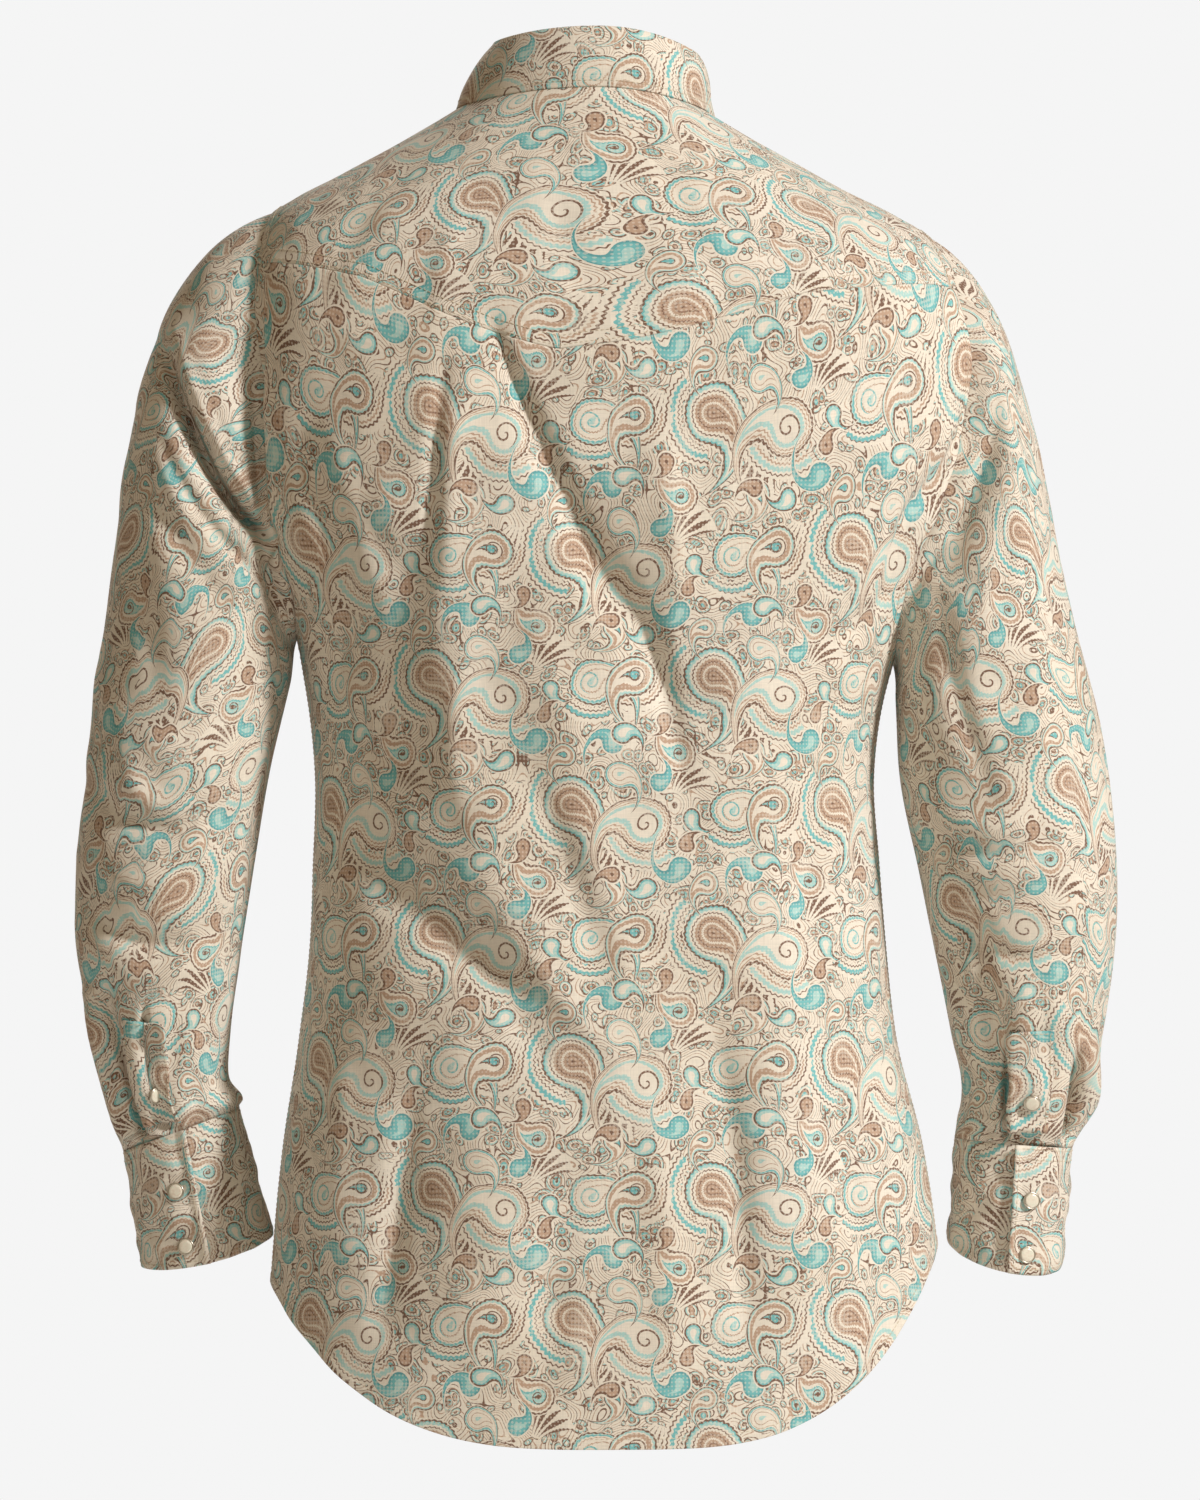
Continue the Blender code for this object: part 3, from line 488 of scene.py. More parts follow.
def side_edge(side, turns, count, past=0.0):
    """Phi and level down an armhole and a side seam, to the hem a little past the side."""
    sign = ARMHOLES[side][0]
    phi, level = armhole(side, turns)
    seam = down_levels(level[-1], float(hem_level(np.array(sign * (math.pi / 2 + past)))), count)
    return np.append(phi, np.full(len(seam), sign * math.pi / 2)), np.append(level, seam)


def front_edge(side):
    """Phi, level and share of the way down, along a front's armhole and side seam."""
    turns = np.linspace(-YOKE_FRONT_NODE * NODE_TURN, -math.pi, 56)
    phi, level = side_edge(side, turns, 110, 0.001)
    return phi * ARMHOLES[side][0], level, (level - level[0]) / (level[-1] - level[0])


def front_levels(edge_level, part, top_level, hem):
    """Rows that leave the yoke's seam soon and meet the hem gently."""
    edge_level, part = edge_level[:, None], part[:, None]
    from_top = (top_level - edge_level[0])[None] * (1 - part) ** FRONT_ROW_RISE
    return edge_level + from_top + (hem - edge_level[-1])[None] * part**2


def front_grid(side, seam_columns=50, neck_columns=44):
    """Phi and level of a front, from its armhole and side seam to its edge at the centre."""
    sign = ARMHOLES[side][0]
    edge_phi, edge_level, part = front_edge(side)
    down = spread_out(1.0, 0.0, seam_columns, (0.006, 0.014))
    last = 0.0 if sign < 0 else YOKE_LAST
    outer_phi, outer_level = yoke_edge(np.array(last))
    seam_phi = sign * lerp(yoke_neck(last), outer_phi, down)
    seam_level = down * outer_level
    left_level, left_part = front_edge("left")[1:]
    hem = np.array([FRONT_LENGTH_LEVEL])
    centre_level = front_levels(left_level, left_part, np.zeros(1), hem)[:, 0]
    across = sign * EDGE_X[side]
    end_phi = centre_phi(centre_level, across, "left" if across >= 0 else "right")
    end_phi = end_phi if sign > 0 else 2 * math.pi - end_phi
    neck = np.linspace(seam_phi[-1], end_phi[0], neck_columns + 1)[1:]
    top_phi, top_level = np.append(seam_phi, neck), np.append(seam_level, np.zeros(neck_columns))
    top_share = ((top_phi - edge_phi[0]) / (top_phi[-1] - edge_phi[0]))[None]
    even = np.linspace(0, 1, len(top_phi))
    even[1:3] = (0.004, 0.01)
    share = lerp(top_share, even[None], smoothstep(part[:, None] * FRONT_ROW_RISE))
    phi = lerp(edge_phi[:, None], end_phi[:, None], share)
    phi[0] = top_phi
    level = front_levels(edge_level, part, top_level, hem_level(sign * phi[-1]))
    level = level + (centre_level - level[:, -1])[:, None] * even[None] ** 2
    return sign * phi, level


def placket_point(across, level):
    """The front placket's outer face, across millimetres left of the centre front."""
    phi = centre_phi(level, across, "left")
    return body_point(phi, level) + body_normal(phi, level) * PLACKET_LIFT


def stand_point(phi, height):
    """The stand's outer face; past the lap its right end dips under the left one."""
    base = ring_point(STAND_ROWS_TABLE, RING_COLUMNS, phi, height)
    outward = unit(base * [1, 1, 0] - [0, BODY_CENTRE_Y, 0])
    dip = smoothstep((-phi - STAND_LAP_TURN) / 0.22) * UNDER_DIP
    base = base - outward * np.asarray(dip)[..., None]
    base[..., 2] += STAND_SEAM * (1 - height)
    return base


def fall_grid(columns=176, rows=5):
    """The collar's fall: over the stand's edge, then mixed down from the fold to the yoke."""
    down = np.concatenate([np.zeros(len(FOLD_OUT)), np.linspace(0, 1, rows + 1)[1:]])[:, None]
    out = np.append(FOLD_OUT, np.zeros(rows))[:, None]
    up = np.append(FOLD_UP, np.zeros(rows))[:, None]
    share = np.linspace(-1, 1, columns + 1)[None]
    phi = share * np.radians(FALL_END_DEG - FALL_SPREAD_DEG * down)
    front = smoothstep((np.abs(phi) - FALL_FRONT_TURN) / 0.5)
    fold = stand_point(phi, np.ones_like(phi))
    outward = unit(fold * [1, 1, 0] - [0, BODY_CENTRE_Y, 0])
    fold = fold + outward * (out + FALL_FRONT_CLEAR * front)[..., None]
    fold[..., 2] += up
    side_drop = FALL_SIDE_DROP * np.sin(np.abs(share) * math.pi / 2) ** 2
    level = FALL_BACK_LEVEL + side_drop + FALL_POINT_DROP * smoothstep((np.abs(share) - 0.62) / 0.38)
    level = level + 0 * phi
    rest = body_point(phi, level)
    tuck = FALL_TUCK * smoothstep((down - 0.85) / 0.15)
    rest = rest + body_normal(phi, level) * (WALL - 0.3 - tuck + FALL_REST_CLEAR * front)[..., None]
    bulge = FALL_BULGE * np.sin(math.pi * down) ** 0.8 + FOLD_OUT[-1] * (1 - down) * (down > 0)
    points = lerp(fold, rest, (down**1.25)[..., None]) + outward * (bulge + 0 * phi)[..., None]
    return smooth_rows(points, 54)


def smooth_rows(points, count):
    """A cubic through each column of points, read at count even places down it."""
    rows = len(points)
    slopes = np.gradient(points, axis=0)
    at = np.linspace(0, rows - 1, count)
    row = np.minimum(at.astype(int), rows - 2)
    t = (at - row)[:, None, None]
    return hermite(t, points[row], points[row + 1], slopes[row], slopes[row + 1])


def ring_of(rows, sign, turn, along):
    """A tilted ring: inner and outer mixed by cos(turn), half_y times sin(turn) across."""
    value = {name: column(rows, SLEEVE_COLUMNS, name, along) for name in SLEEVE_COLUMNS.split()[1:]}
    out = np.cos(turn)
    x = lerp(value["inner_x"], value["outer_x"], (1 + out) / 2)
    z = lerp(value["inner_z"], value["outer_z"], (1 + out) / 2) + value["lean"] * np.sin(turn)
    y = value["centre_y"] + value["half_y"] * np.sin(turn)
    return np.stack([sign * x, y, z], axis=-1)


def sleeve_point(side, turn, share, dip=0.0):
    """An arc from the armhole to the first ring up to CAP_SHARE, then the rings, with folds."""
    sign, rows, cap = ARMHOLES[side][0], SLEEVES[side], CAP_SHARE
    turn, share = np.broadcast_arrays(np.asarray(turn, float), np.asarray(share, float))
    along = np.clip((share - cap) / (1 - cap), 0, 1) * rows[-1][0]
    ring = ring_of(rows, sign, turn, along)
    phi, level = armhole(side, turn[:1])
    start = body_point(phi, level) - body_normal(phi, level) * dip
    pull, flat = CAPS[side]
    out = np.cos(turn)
    leave = np.stack([0.62 + 0.34 * out, 0.2 * np.sin(turn), flat * out - 0.66], axis=-1)
    leave = unit(leave) * [sign, 1, 1]
    first = ring_of(rows, sign, turn, 0.0 * along)
    arrive = unit(ring_of(rows, sign, turn, 0.0 * along + 5) - first)
    reach = np.linalg.norm(first - start, axis=-1, keepdims=True)
    t = np.clip(share / cap, 0, 1)[..., None]
    arc = hermite(t, start, first, leave * reach * pull, arrive * reach * CAP_SETTLE)
    points = np.where(t < 1, arc, ring)
    facing = np.sin(turn)
    quiet = smoothstep(share / 0.08) * smoothstep((1 - share) / 0.014)
    move = fold_shift(points, 2 * facing, 0.4) + 1.3 * softness(points) * np.clip(np.abs(facing) * 2, 0, 1)
    outward = unit(np.stack([0.3 * sign * out, facing, 0.15 * out * (1 - t[..., 0])], axis=-1))
    return points + outward * (move * quiet)[..., None]


def cuff_point(side, turn, height, lift=0.0):
    """The cuff's ring, lifted outward from its own centre and a little crumpled."""
    sign, rows = ARMHOLES[side][0], CUFFS[side]
    point = ring_of(rows, sign, turn, height)
    centre = (ring_of(rows, sign, 0.0 * turn, height) + ring_of(rows, sign, 0.0 * turn + math.pi, height)) / 2
    outward = unit((point - centre) * [1, 1, 0])
    lift = lift + CUFF_CRUMPLE * softness(point * 2.6) * smoothstep(height / 0.3)
    return point + outward * np.asarray(lift)[..., None] - [0, 0, CUFF_GAP]


def cuff_grid(side):
    """The cuff from its slit right round and under its lap, which stands out most at its edge."""
    turned = np.linspace(0, 2 * math.pi + math.radians(CUFF_LAP_DEG), 150)
    turned, height = np.meshgrid(turned, np.linspace(0, 1, 40))
    over = 1 - smoothstep((turned - math.radians(CUFF_LAP_DEG + 6)) / math.radians(50))
    lift = CUFF_LIFT * over + CUFF_GAPE * (1 - smoothstep(turned / 0.16))
    return cuff_point(side, math.radians(CUFF_SLIT_DEG[side]) - turned, height, lift)


def sleeve_face(side, turn, share, lift):
    """A point lifted off a sleeve's outer face, with the outward direction there."""
    around = sleeve_point(side, turn + 0.02, share) - sleeve_point(side, turn - 0.02, share)
    down = sleeve_point(side, turn, share + 0.01) - sleeve_point(side, turn, share - 0.01)
    outward = unit(np.cross(down, around)) * ARMHOLES[side][0]
    return sleeve_point(side, turn, share) + outward * np.asarray(lift)[..., None], outward


def slit_turn(side, share):
    """The sleeve's slit: its own angle, mixed into the cuff's by smoothstep at its lower end."""
    return np.radians(lerp(SLEEVE_SLIT_DEG[side], CUFF_SLIT_DEG[side], smoothstep((share - 0.95) / 0.07)))


def slit_strip(side, across):
    """The strip beside the sleeve's slit, which stands out most at its free edge."""
    turned = math.radians(SLEEVE_PLACKET_WIDTH_DEG) * across
    turned, share = np.meshgrid(turned, np.linspace(1 - SLEEVE_PLACKET_LENGTH, 0.985, 40))
    lift = STRIP_LIFT + CUFF_GAPE * (1 - smoothstep(turned / 0.14))
    return sleeve_face(side, slit_turn(side, share) - turned, share, lift)[0]


# ---------------------------------------------------------------- seams, cuts and meshes
SEAM_DIP, SEAM_RUN = 0.3, 0.9  # a seam sinks this far, over this width
LAP_RISE, LAP_WIDTH = 0.22, 7.5  # the felled side of a seam stands this proud
HEM_RISE, HEM_WIDTH = 0.5, 6.6
FINE = (0.5, 1.1, 1.9, 3.0)
CUFF_CRUMPLE, CUFF_GAPE = 1.0, 3.2  # the cuffs aren't quite smooth, and their free edge stands off


def walked(points, axis):
    """Length walked along one axis of a grid, from its start."""
    steps = np.linalg.norm(np.diff(points, axis=axis), axis=-1)
    start = np.zeros_like(np.take(steps, [0], axis=axis))
    return np.concatenate([start, np.cumsum(steps, axis=axis)], axis=axis)


def seamed(points, normal, dips, laps):
    """Edges named in dips sink as exp of minus distance squared; those in laps stand up beside it."""
    across, down = walked(points, 1), walked(points, 0)
    reach = {"start": across, "end": across[:, -1:] - across, "top": down, "bottom": down[-1:] - down}
    sink = np.max([np.exp(-((reach[edge] / SEAM_RUN) ** 2)) for edge in dips], axis=0)
    rise = np.zeros(points.shape[:2])
    for edge in laps:
        rise = np.maximum(rise, smoothstep((LAP_WIDTH - reach[edge]) / 1.6))
    shift = LAP_RISE * rise * (1 - sink) - SEAM_DIP * sink
    return points + normal * shift[..., None]


def hemmed(points, normal, phi, level):
    """The turned hem: a band that stands proud, with a groove where it is sewn."""
    away = hem_level(phi) - level
    band = HEM_RISE * smoothstep((HEM_WIDTH + 0.8 - away) / 1.4)
    band = band - 0.4 * np.exp(-(((away - HEM_WIDTH + 0.4) / 0.6) ** 2))
    return points + normal * band[..., None]


ARC_LEVELS, ARC_TURNS = np.linspace(0, 830, 84), np.linspace(0, 3.5, 281)


def arc_table(sign):
    """Length round the torso's plain ring from the centre back, at each level and turn."""
    phi, level = np.meshgrid(sign * ARC_TURNS, ARC_LEVELS)
    return walked(ring_point(BODY_ROWS, RING_COLUMNS, phi, level), 1)


ARC_TABLES = {1: arc_table(1), -1: arc_table(-1)}


def ring_arc(phi, level, sign):
    """Length round the ring from the centre back to |phi|, mixed between the table's places."""
    table = ARC_TABLES[sign]
    row = np.clip(level / ARC_LEVELS[1], 0, len(ARC_LEVELS) - 1.001)
    turn = np.clip(np.abs(phi) / ARC_TURNS[1], 0, len(ARC_TURNS) - 1.001)
    r, c = row.astype(int), turn.astype(int)
    upper = lerp(table[r, c], table[r, c + 1], turn - c)
    lower = lerp(table[r + 1, c], table[r + 1, c + 1], turn - c)
    return lerp(upper, lower, row - r)


def back_cut(phi, level):
    """The back's place on the cut: length round from the centre back, and level down."""
    across = np.where(phi >= 0, ring_arc(phi, level, 1), -ring_arc(phi, level, -1))
    return np.stack([across, -level], axis=-1)


def front_cut(phi, level):
    """A front's place on the cut: length round from the centre front, and level down."""
    sign = 1 if phi.mean() > 0 else -1
    middle = ring_arc(np.full_like(level, math.pi), level, sign)
    return np.stack([sign * (ring_arc(phi, level, sign) - middle), -level], axis=-1)


def yoke_cut(points, neck_phi):
    """The yoke laid flat as a cone: each column leaves the neck's curve at 0.68 of its angle."""
    angle = 0.68 * neck_phi
    neck = np.linalg.norm(np.diff(points[0], axis=0), axis=-1)
    middle = (angle[1:] + angle[:-1]) / 2
    base = np.stack([np.cos(middle) * neck, -np.sin(middle) * neck], axis=-1)
    base = np.concatenate([[[0, 0]], np.cumsum(base, axis=0)])
    base = base - base[np.argmin(np.abs(neck_phi))]
    way = np.stack([np.sin(angle), np.cos(angle)], axis=-1)
    flat = base[None] + way[None] * walked(points, 0)[..., None]
    return flat * [1, -1]


def grid_cut(points, zero_share=0.5, from_end=False):
    """Length along each row from one column, and along each column from the top or the end."""
    across, down = walked(points, 1), walked(points, 0)
    zero = int(round(zero_share * (points.shape[1] - 1)))
    across = across - across[:, zero : zero + 1]
    down = down[-1:] - down if from_end else -down
    return np.stack([across, down], axis=-1)


def make_mesh(name, places, faces, materials, uv=None, slots=None):
    """A mesh from arrays of corners in millimetres and of faces with as many corners each."""
    mesh = bpy.data.meshes.new(name)
    count, sides = faces.shape
    mesh.vertices.add(len(places))
    mesh.vertices.foreach_set("co", (places * MM).astype(np.float32).ravel())
    mesh.loops.add(count * sides)
    mesh.loops.foreach_set("vertex_index", faces.astype(np.int32).ravel())
    mesh.polygons.add(count)
    mesh.polygons.foreach_set("loop_start", np.arange(0, count * sides, sides, dtype=np.int32))
    if slots is not None:
        mesh.polygons.foreach_set("material_index", slots.astype(np.int32))
    mesh.update(calc_edges=True)
    mesh.validate()
    if uv is not None:
        layer = mesh.uv_layers.new(name="cut")
        layer.data.foreach_set("uv", (uv * MM).astype(np.float32).ravel())
    for material in materials:
        mesh.materials.append(material)
    mesh.shade_smooth()
    thing = bpy.data.objects.new(name, mesh)
    bpy.context.scene.collection.objects.link(thing)
    return thing


def grid_faces(rows, columns, closed, flip):
    """Corners of each cell, and the grid places that they take their UV from."""
    row, step = np.meshgrid(np.arange(rows - 1), np.arange(columns - 1), indexing="ij")
    corners = [np.stack([row + down, step + right], -1) for down, right in ((0, 0), (0, 1), (1, 1), (1, 0))]
    corners = np.stack(corners, axis=2).reshape(-1, 4, 2)
    if flip:
        corners = corners[:, ::-1]
    width = columns - 1 if closed else columns
    return corners[..., 0] * width + corners[..., 1] % width, corners


def cloth(name, points, cut, shift, node, wall, closed=False, flip=False):
    """One piece of cloth: a grid with its cut as UV, given a wall inward."""
    rows, columns = points.shape[:2]
    faces, corners = grid_faces(rows, columns, closed, flip)
    places = (points[:, :-1] if closed else points).reshape(-1, 3)
    uv = (cut + np.array(shift, float))[corners[..., 0], corners[..., 1]]
    materials = [finish("printed cotton"), finish("cotton reverse")]
    thing = make_mesh(name, places, faces, materials, uv.reshape(-1, 2))
    shell = thing.modifiers.new("wall", "SOLIDIFY")
    shell.thickness, shell.offset, shell.material_offset = wall, -1, 1
    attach(thing, BODY)
    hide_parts(node)


def stitches(name, paths, sizes):
    """Along each path, a spindle at every pitch: four square sections, small at both ends."""
    places, ways, outs = [], [], []
    for points, normals in paths:
        run = walked(points[:, None], 0)[:, 0]
        at = np.arange(sizes.stitch_pitch / MM / 2, run[-1], sizes.stitch_pitch / MM)
        spot = np.stack([np.interp(at, run, points[:, k]) for k in range(3)], -1)
        way = unit(np.stack([np.interp(at, run, np.gradient(points[:, k])) for k in range(3)], -1))
        out = unit(np.stack([np.interp(at, run, normals[:, k]) for k in range(3)], -1))
        places.append(spot), ways.append(way), outs.append(out)
    spot, way, out = (np.concatenate(parts) for parts in (places, ways, outs))
    side = unit(np.cross(way, out))
    half, thick = sizes.stitch_length / MM / 2, sizes.thread_width / MM / 2
    along = np.array([-1, -0.6, 0.6, 1]) * half
    size = np.array([0.3, 1, 1, 0.3]) * thick
    arch = np.array([-0.6, 0.5, 0.5, -0.6]) * thick
    corner = np.array([(1, 0.7), (-1, 0.7), (-1, -0.7), (1, -0.7)])
    ring = spot[:, None, None] + way[:, None, None] * along[None, :, None, None]
    ring = ring + side[:, None, None] * (size[:, None] * corner[:, 0])[None, ..., None]
    ring = ring + out[:, None, None] * (size[:, None] * corner[:, 1] + arch[:, None])[None, ..., None]
    step = [(j, (j + 1) % 4, 4 + (j + 1) % 4, 4 + j) for j in range(4)]
    one = np.array([[4 * k + j for j in corners] for k in range(3) for corners in step])
    one = np.concatenate([one, [(3, 2, 1, 0), (12, 13, 14, 15)]])
    faces = (one[None] + (np.arange(len(spot)) * 16)[:, None, None]).reshape(-1, 4)
    thing = make_mesh(name, ring.reshape(-1, 3), faces[:, ::-1], [finish("sewing thread")])
    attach(thing, BODY)


# ---------------------------------------------------------------- materials
class Net:
    """Short ways to add shader nodes to one tree and to join them."""

    def __init__(self, tree):
        self.tree = tree

    def node(self, kind, **settings):
        """A new node, with its settings."""
        made = self.tree.nodes.new(kind if kind.startswith("Node") else "ShaderNode" + kind)
        number = len(self.tree.nodes)
        made.location = (190 * (number // 10), -170 * (number % 10))
        for name, value in settings.items():
            setattr(made, name, value)
        return made

    def feed(self, made, values):
        """Links or values for a node's sockets, in order or by name."""
        for key, value in values.items() if isinstance(values, dict) else enumerate(values):
            if isinstance(value, bpy.types.NodeSocket):
                self.tree.links.new(value, made.inputs[key])
            elif value is not None:
                made.inputs[key].default_value = value
        return made

    def math(self, operation, *values):
        """One sum."""
        return self.feed(self.node("Math", operation=operation), values).outputs[0]

    def vector(self, operation, *values):
        """One sum of vectors."""
        made = self.feed(self.node("VectorMath", operation=operation), values)
        return made.outputs[1 if operation in ("DOT_PRODUCT", "LENGTH") else 0]

    def mix(self, share, a, b, blend="MIX"):
        """Two colours mixed."""
        made = self.node("Mix", data_type="RGBA", blend_type=blend)
        return self.feed(made, {0: share, 6: a, 7: b}).outputs[2]

    def steps(self, value, stops, smooth=False):
        """A ramp of (place, colour) stops, each colour held to the next unless smooth."""
        made = self.node("ValToRGB")
        made.color_ramp.interpolation = "LINEAR" if smooth else "CONSTANT"
        elements = made.color_ramp.elements
        for place, colour in stops[2:]:
            elements.new(place)
        for element, (place, colour) in zip(elements, stops):
            element.position = place
        for element, (place, colour) in zip(elements, stops):
            element.color = tuple(colour) if len(colour) == 4 else (*colour, 1)
        return self.feed(made, (value,)).outputs[0]

    def noise(self, vector, scale, detail, output="Fac", dimensions="2D", distortion=0.0):
        """A noise in two dimensions, or in three."""
        made = self.node("TexNoise", noise_dimensions=dimensions)
        values = {"Vector": vector, "Scale": scale, "Detail": detail, "Distortion": distortion}
        return self.feed(made, values).outputs[output]

    def bump(self, height, strength, distance, normal=None):
        """A height turned into a normal, over another one."""
        values = {"Strength": strength, "Distance": distance, "Height": height, "Normal": normal}
        return self.feed(self.node("Bump"), values).outputs[0]


def bands(text):
    """Pairs of a place and the colour that starts there, from words in turns."""
    words = text.split()
    return [(float(place), name) for place, name in zip(words[::2], words[1::2])]


REPEAT_ACROSS, REPEAT_DOWN = 168.0, 152.0  # the half-drop repeat, in millimetres
STIPPLE_PITCH, THREADS = 2.3, 1900.0  # specks in millimetres, threads in a metre
SCALLOP_FROM = 9  # a teardrop larger than this has a scalloped rim

# Teardrops: across and up in the repeat, turn in degrees, size of the round end, length of the
# tip in sizes, curl in radians for each millimetre, and the name of the bands that fill it.
TEARDROPS = [
    (26, 40, 98, 18.5, 2.7, 0.034, "tan_heart"),
    (66, 104, -14, 17.0, 3.1, -0.052, "pale_tall"),
    (14, 112, 30, 14.5, 2.9, 0.05, "teal_rim"),
    (72, 40, -62, 13.0, 3.0, -0.062, "brown_rim"),
    (46, 146, -104, 11.5, 2.4, 0.06, "oval"),
    (46, 78, 168, 7.5, 3.8, 0.12, "hook"),
    (2, 76, 22, 7.0, 3.6, -0.13, "hook"),
    (0, 146, 122, 8.0, 3.0, 0.09, "brown_rim"),
    (80, 6, 30, 6.8, 3.0, 0.11, "teal_small"),
    (38, 108, 200, 6.2, 2.8, -0.1, "teal_small"),
    (86, 74, -40, 6.0, 2.9, -0.1, "leaf"),
    (54, 14, 140, 5.8, 2.6, 0.12, "leaf"),
    (-2, 57, 60, 8.5, 2.8, 0.08, "teal_rim"),
    (30, 69, -70, 7.6, 2.7, -0.09, "brown_rim"),
    (65, 66, 200, 6.6, 2.8, 0.1, "teal_small"),
    (58, 129, 100, 6.2, 2.8, -0.11, "hook"),
    (42, 92, -20, 5.6, 2.6, 0.1, "leaf"),
]
# Where each colour starts, in sizes from the middle of the round end.
BANDS = {
    "tan_heart": bands("0 brown 0.06 tan 0.17 brown 0.2 tan 0.3 ground 0.36 tan 0.46 brown 0.49 tan "
        "0.58 ground 0.66 brown 0.7 ground 0.77 aqua 0.85 teal 0.89 brown 0.95 ground"),
    "pale_tall": bands("0 ground 0.5 aqua 0.64 ground 0.7 tan 0.74 ground 0.8 tan 0.85 ground 0.88 brown "
        "0.95 ground"),
    "teal_rim": bands("0 aqua 0.14 ground 0.4 tan 0.46 ground 0.66 tan 0.7 ground 0.76 teal 0.84 aqua "
        "0.88 brown 0.95 ground"),
    "brown_rim": bands("0 teal 0.2 brown 0.27 ground 0.5 tan 0.7 ground 0.76 aqua 0.85 brown 0.94 ground"),
    "hook": bands("0 aqua 0.34 teal 0.7 deep 0.86 ground"),
    "oval": bands("0 brown 0.14 aqua 0.34 teal 0.42 ground 0.55 tan 0.74 ground 0.84 brown 0.93 ground"),
    "teal_small": bands("0 ground 0.34 aqua 0.6 teal 0.72 brown 0.88 ground"),
    "leaf": bands("0 brown 0.16 tan 0.62 brown 0.82 ground"),
}
# Wavy rings beside a teardrop: its number, turn, half the angle that they cover, waves in a whole
# turn, and where each colour starts in sizes.
RINGS = [
    (0, -2.7, 1.15, 46, bands("1.04 ground 1.12 brown 1.16 ground 1.26 teal 1.4 ground 1.5 brown "
        "1.55 ground")),
    (1, 2.4, 1.2, 44, bands("1.04 ground 1.12 tan 1.18 ground 1.26 aqua 1.42 ground 1.5 brown "
        "1.54 ground")),
    (2, -2.4, 1.0, 38, bands("1.04 ground 1.14 brown 1.19 ground 1.3 teal 1.46 brown 1.5 ground")),
    (3, 2.6, 1.1, 34, bands("1.04 ground 1.14 tan 1.22 ground 1.32 brown 1.4 ground")),
]
# Spirals inside a teardrop: its number, turns in each size, direction and colour.
CURLS = [(1, 2.9, 1, "brown"), (2, 3.1, -1, "teal"), (3, 3.4, 1, "brown"), (4, 3.4, -1, "brown")]
# Fans of feathers: across, up, turn, inner and outer radius, half the angle that they cover, colour.
FANS = [
    (56, 60, 196, 7.0, 44.0, 0.46, "brown"),
    (84, 102, 165, 6.0, 34.0, 0.46, "brown"),
    (50, 118, 24, 5.0, 28.0, 0.5, "brown"),
]
FLORET = bands("0 brown 0.1 aqua 0.17 teal 0.25 tan 0.32 brown 0.38 ground 0.46 aqua 0.53 brown 0.6 ground")


def in_cell(net, cell, across, up, turn, scale=1.0):
    """A motif's own radius and angle, from the nearest spot where the half-drop repeats it."""
    place = (across / REPEAT_ACROSS + up / REPEAT_DOWN, across / REPEAT_ACROSS - up / REPEAT_DOWN, 0)
    off = net.vector("WRAP", net.vector("SUBTRACT", cell, place), (0.5,) * 3, (-0.5,) * 3)
    c, s = math.cos(math.radians(turn)), math.sin(math.radians(turn))
    wide, high = REPEAT_ACROSS / 2 / scale, REPEAT_DOWN / 2 / scale
    x = net.vector("DOT_PRODUCT", off, (wide * c + high * s, wide * c - high * s, 0))
    y = net.vector("DOT_PRODUCT", off, (high * c - wide * s, -high * c - wide * s, 0))
    pair = net.feed(net.node("CombineXYZ"), (x, y)).outputs[0]
    return net.vector("LENGTH", pair), net.math("ARCTAN2", x, y)


def painted(net, fill, value, stops, colour, window=None):
    """A ramp of colours laid over the fill, where its stops have a colour and the window is 1."""
    stops = [(place, (0, 0, 0, 0) if name is None else colour[name]) for place, name in stops]
    ramp = net.steps(value, stops).node
    share = ramp.outputs[1] if window is None else net.math("MULTIPLY", ramp.outputs[1], window)
    return net.mix(share, fill, ramp.outputs[0])


def ground_fill(net, near, wobble, colour):
    """Small ringed florets and thin winding scrolls on the ground, from cells and a noise."""
    floret = net.feed(net.node("TexVoronoi", voronoi_dimensions="2D"), {"Vector": wobble, "Scale": 0.1})
    shade = net.vector("DOT_PRODUCT", floret.outputs["Color"], (0.0, 0.42, 0.0))
    place = net.math("ADD", floret.outputs["Distance"], shade)
    fill = painted(net, colour["ground"], place, FLORET, colour)
    scroll = net.noise(near, 0.05, 0.0)
    line = net.math("PINGPONG", net.math("MULTIPLY", scroll, 8.0), 0.5)
    fill = net.mix(net.math("GREATER_THAN", line, 0.44), fill, colour["tan"])
    return net.mix(net.math("LESS_THAN", line, 0.055), fill, colour["brown"])


def fan(net, fill, cell, row, colour):
    """Four feathers between two radii, barbed at their edges and pointed by a sine at both ends."""
    across, up, turn, inner, outer, half, name = row
    radius, angle = in_cell(net, cell, across, up, turn)
    bent = net.math("MULTIPLY_ADD", radius, 0.012, angle)
    share = net.math("DIVIDE", net.math("SUBTRACT", radius, inner), outer - inner)
    room = net.math("MULTIPLY", net.math("COMPARE", bent, 0.0, half), net.math("COMPARE", share, 0.5, 0.5))
    feather = net.math("PINGPONG", bent, half / 4)
    barbs = net.math("MULTIPLY_ADD", net.math("PINGPONG", radius, 1.1), 0.022, feather)
    width = net.math("MULTIPLY", net.math("SINE", net.math("MULTIPLY", share, math.pi)), half / 6.0)
    stops = [(0, name), (0.004, "ground")]
    return painted(net, fill, net.math("SUBTRACT", barbs, width), stops, colour, room)


def wavy_rings(net, fill, place, row, colour):
    """Rings round a teardrop, waved by a sine of the angle, inside half an angle from the turn."""
    (radius, angle), (_, turn, half, waves, stops) = place, row
    away = net.math("WRAP", net.math("SUBTRACT", angle, turn), math.pi, -math.pi)
    window = net.math("COMPARE", away, 0.0, half)
    wave = net.math("MULTIPLY_ADD", net.math("SINE", net.math("MULTIPLY", angle, waves)), 0.014, radius)
    stops = [(0, None), *((p / 2, name) for p, name in stops), (0.83, None)]
    return painted(net, fill, wave, stops, colour, window)


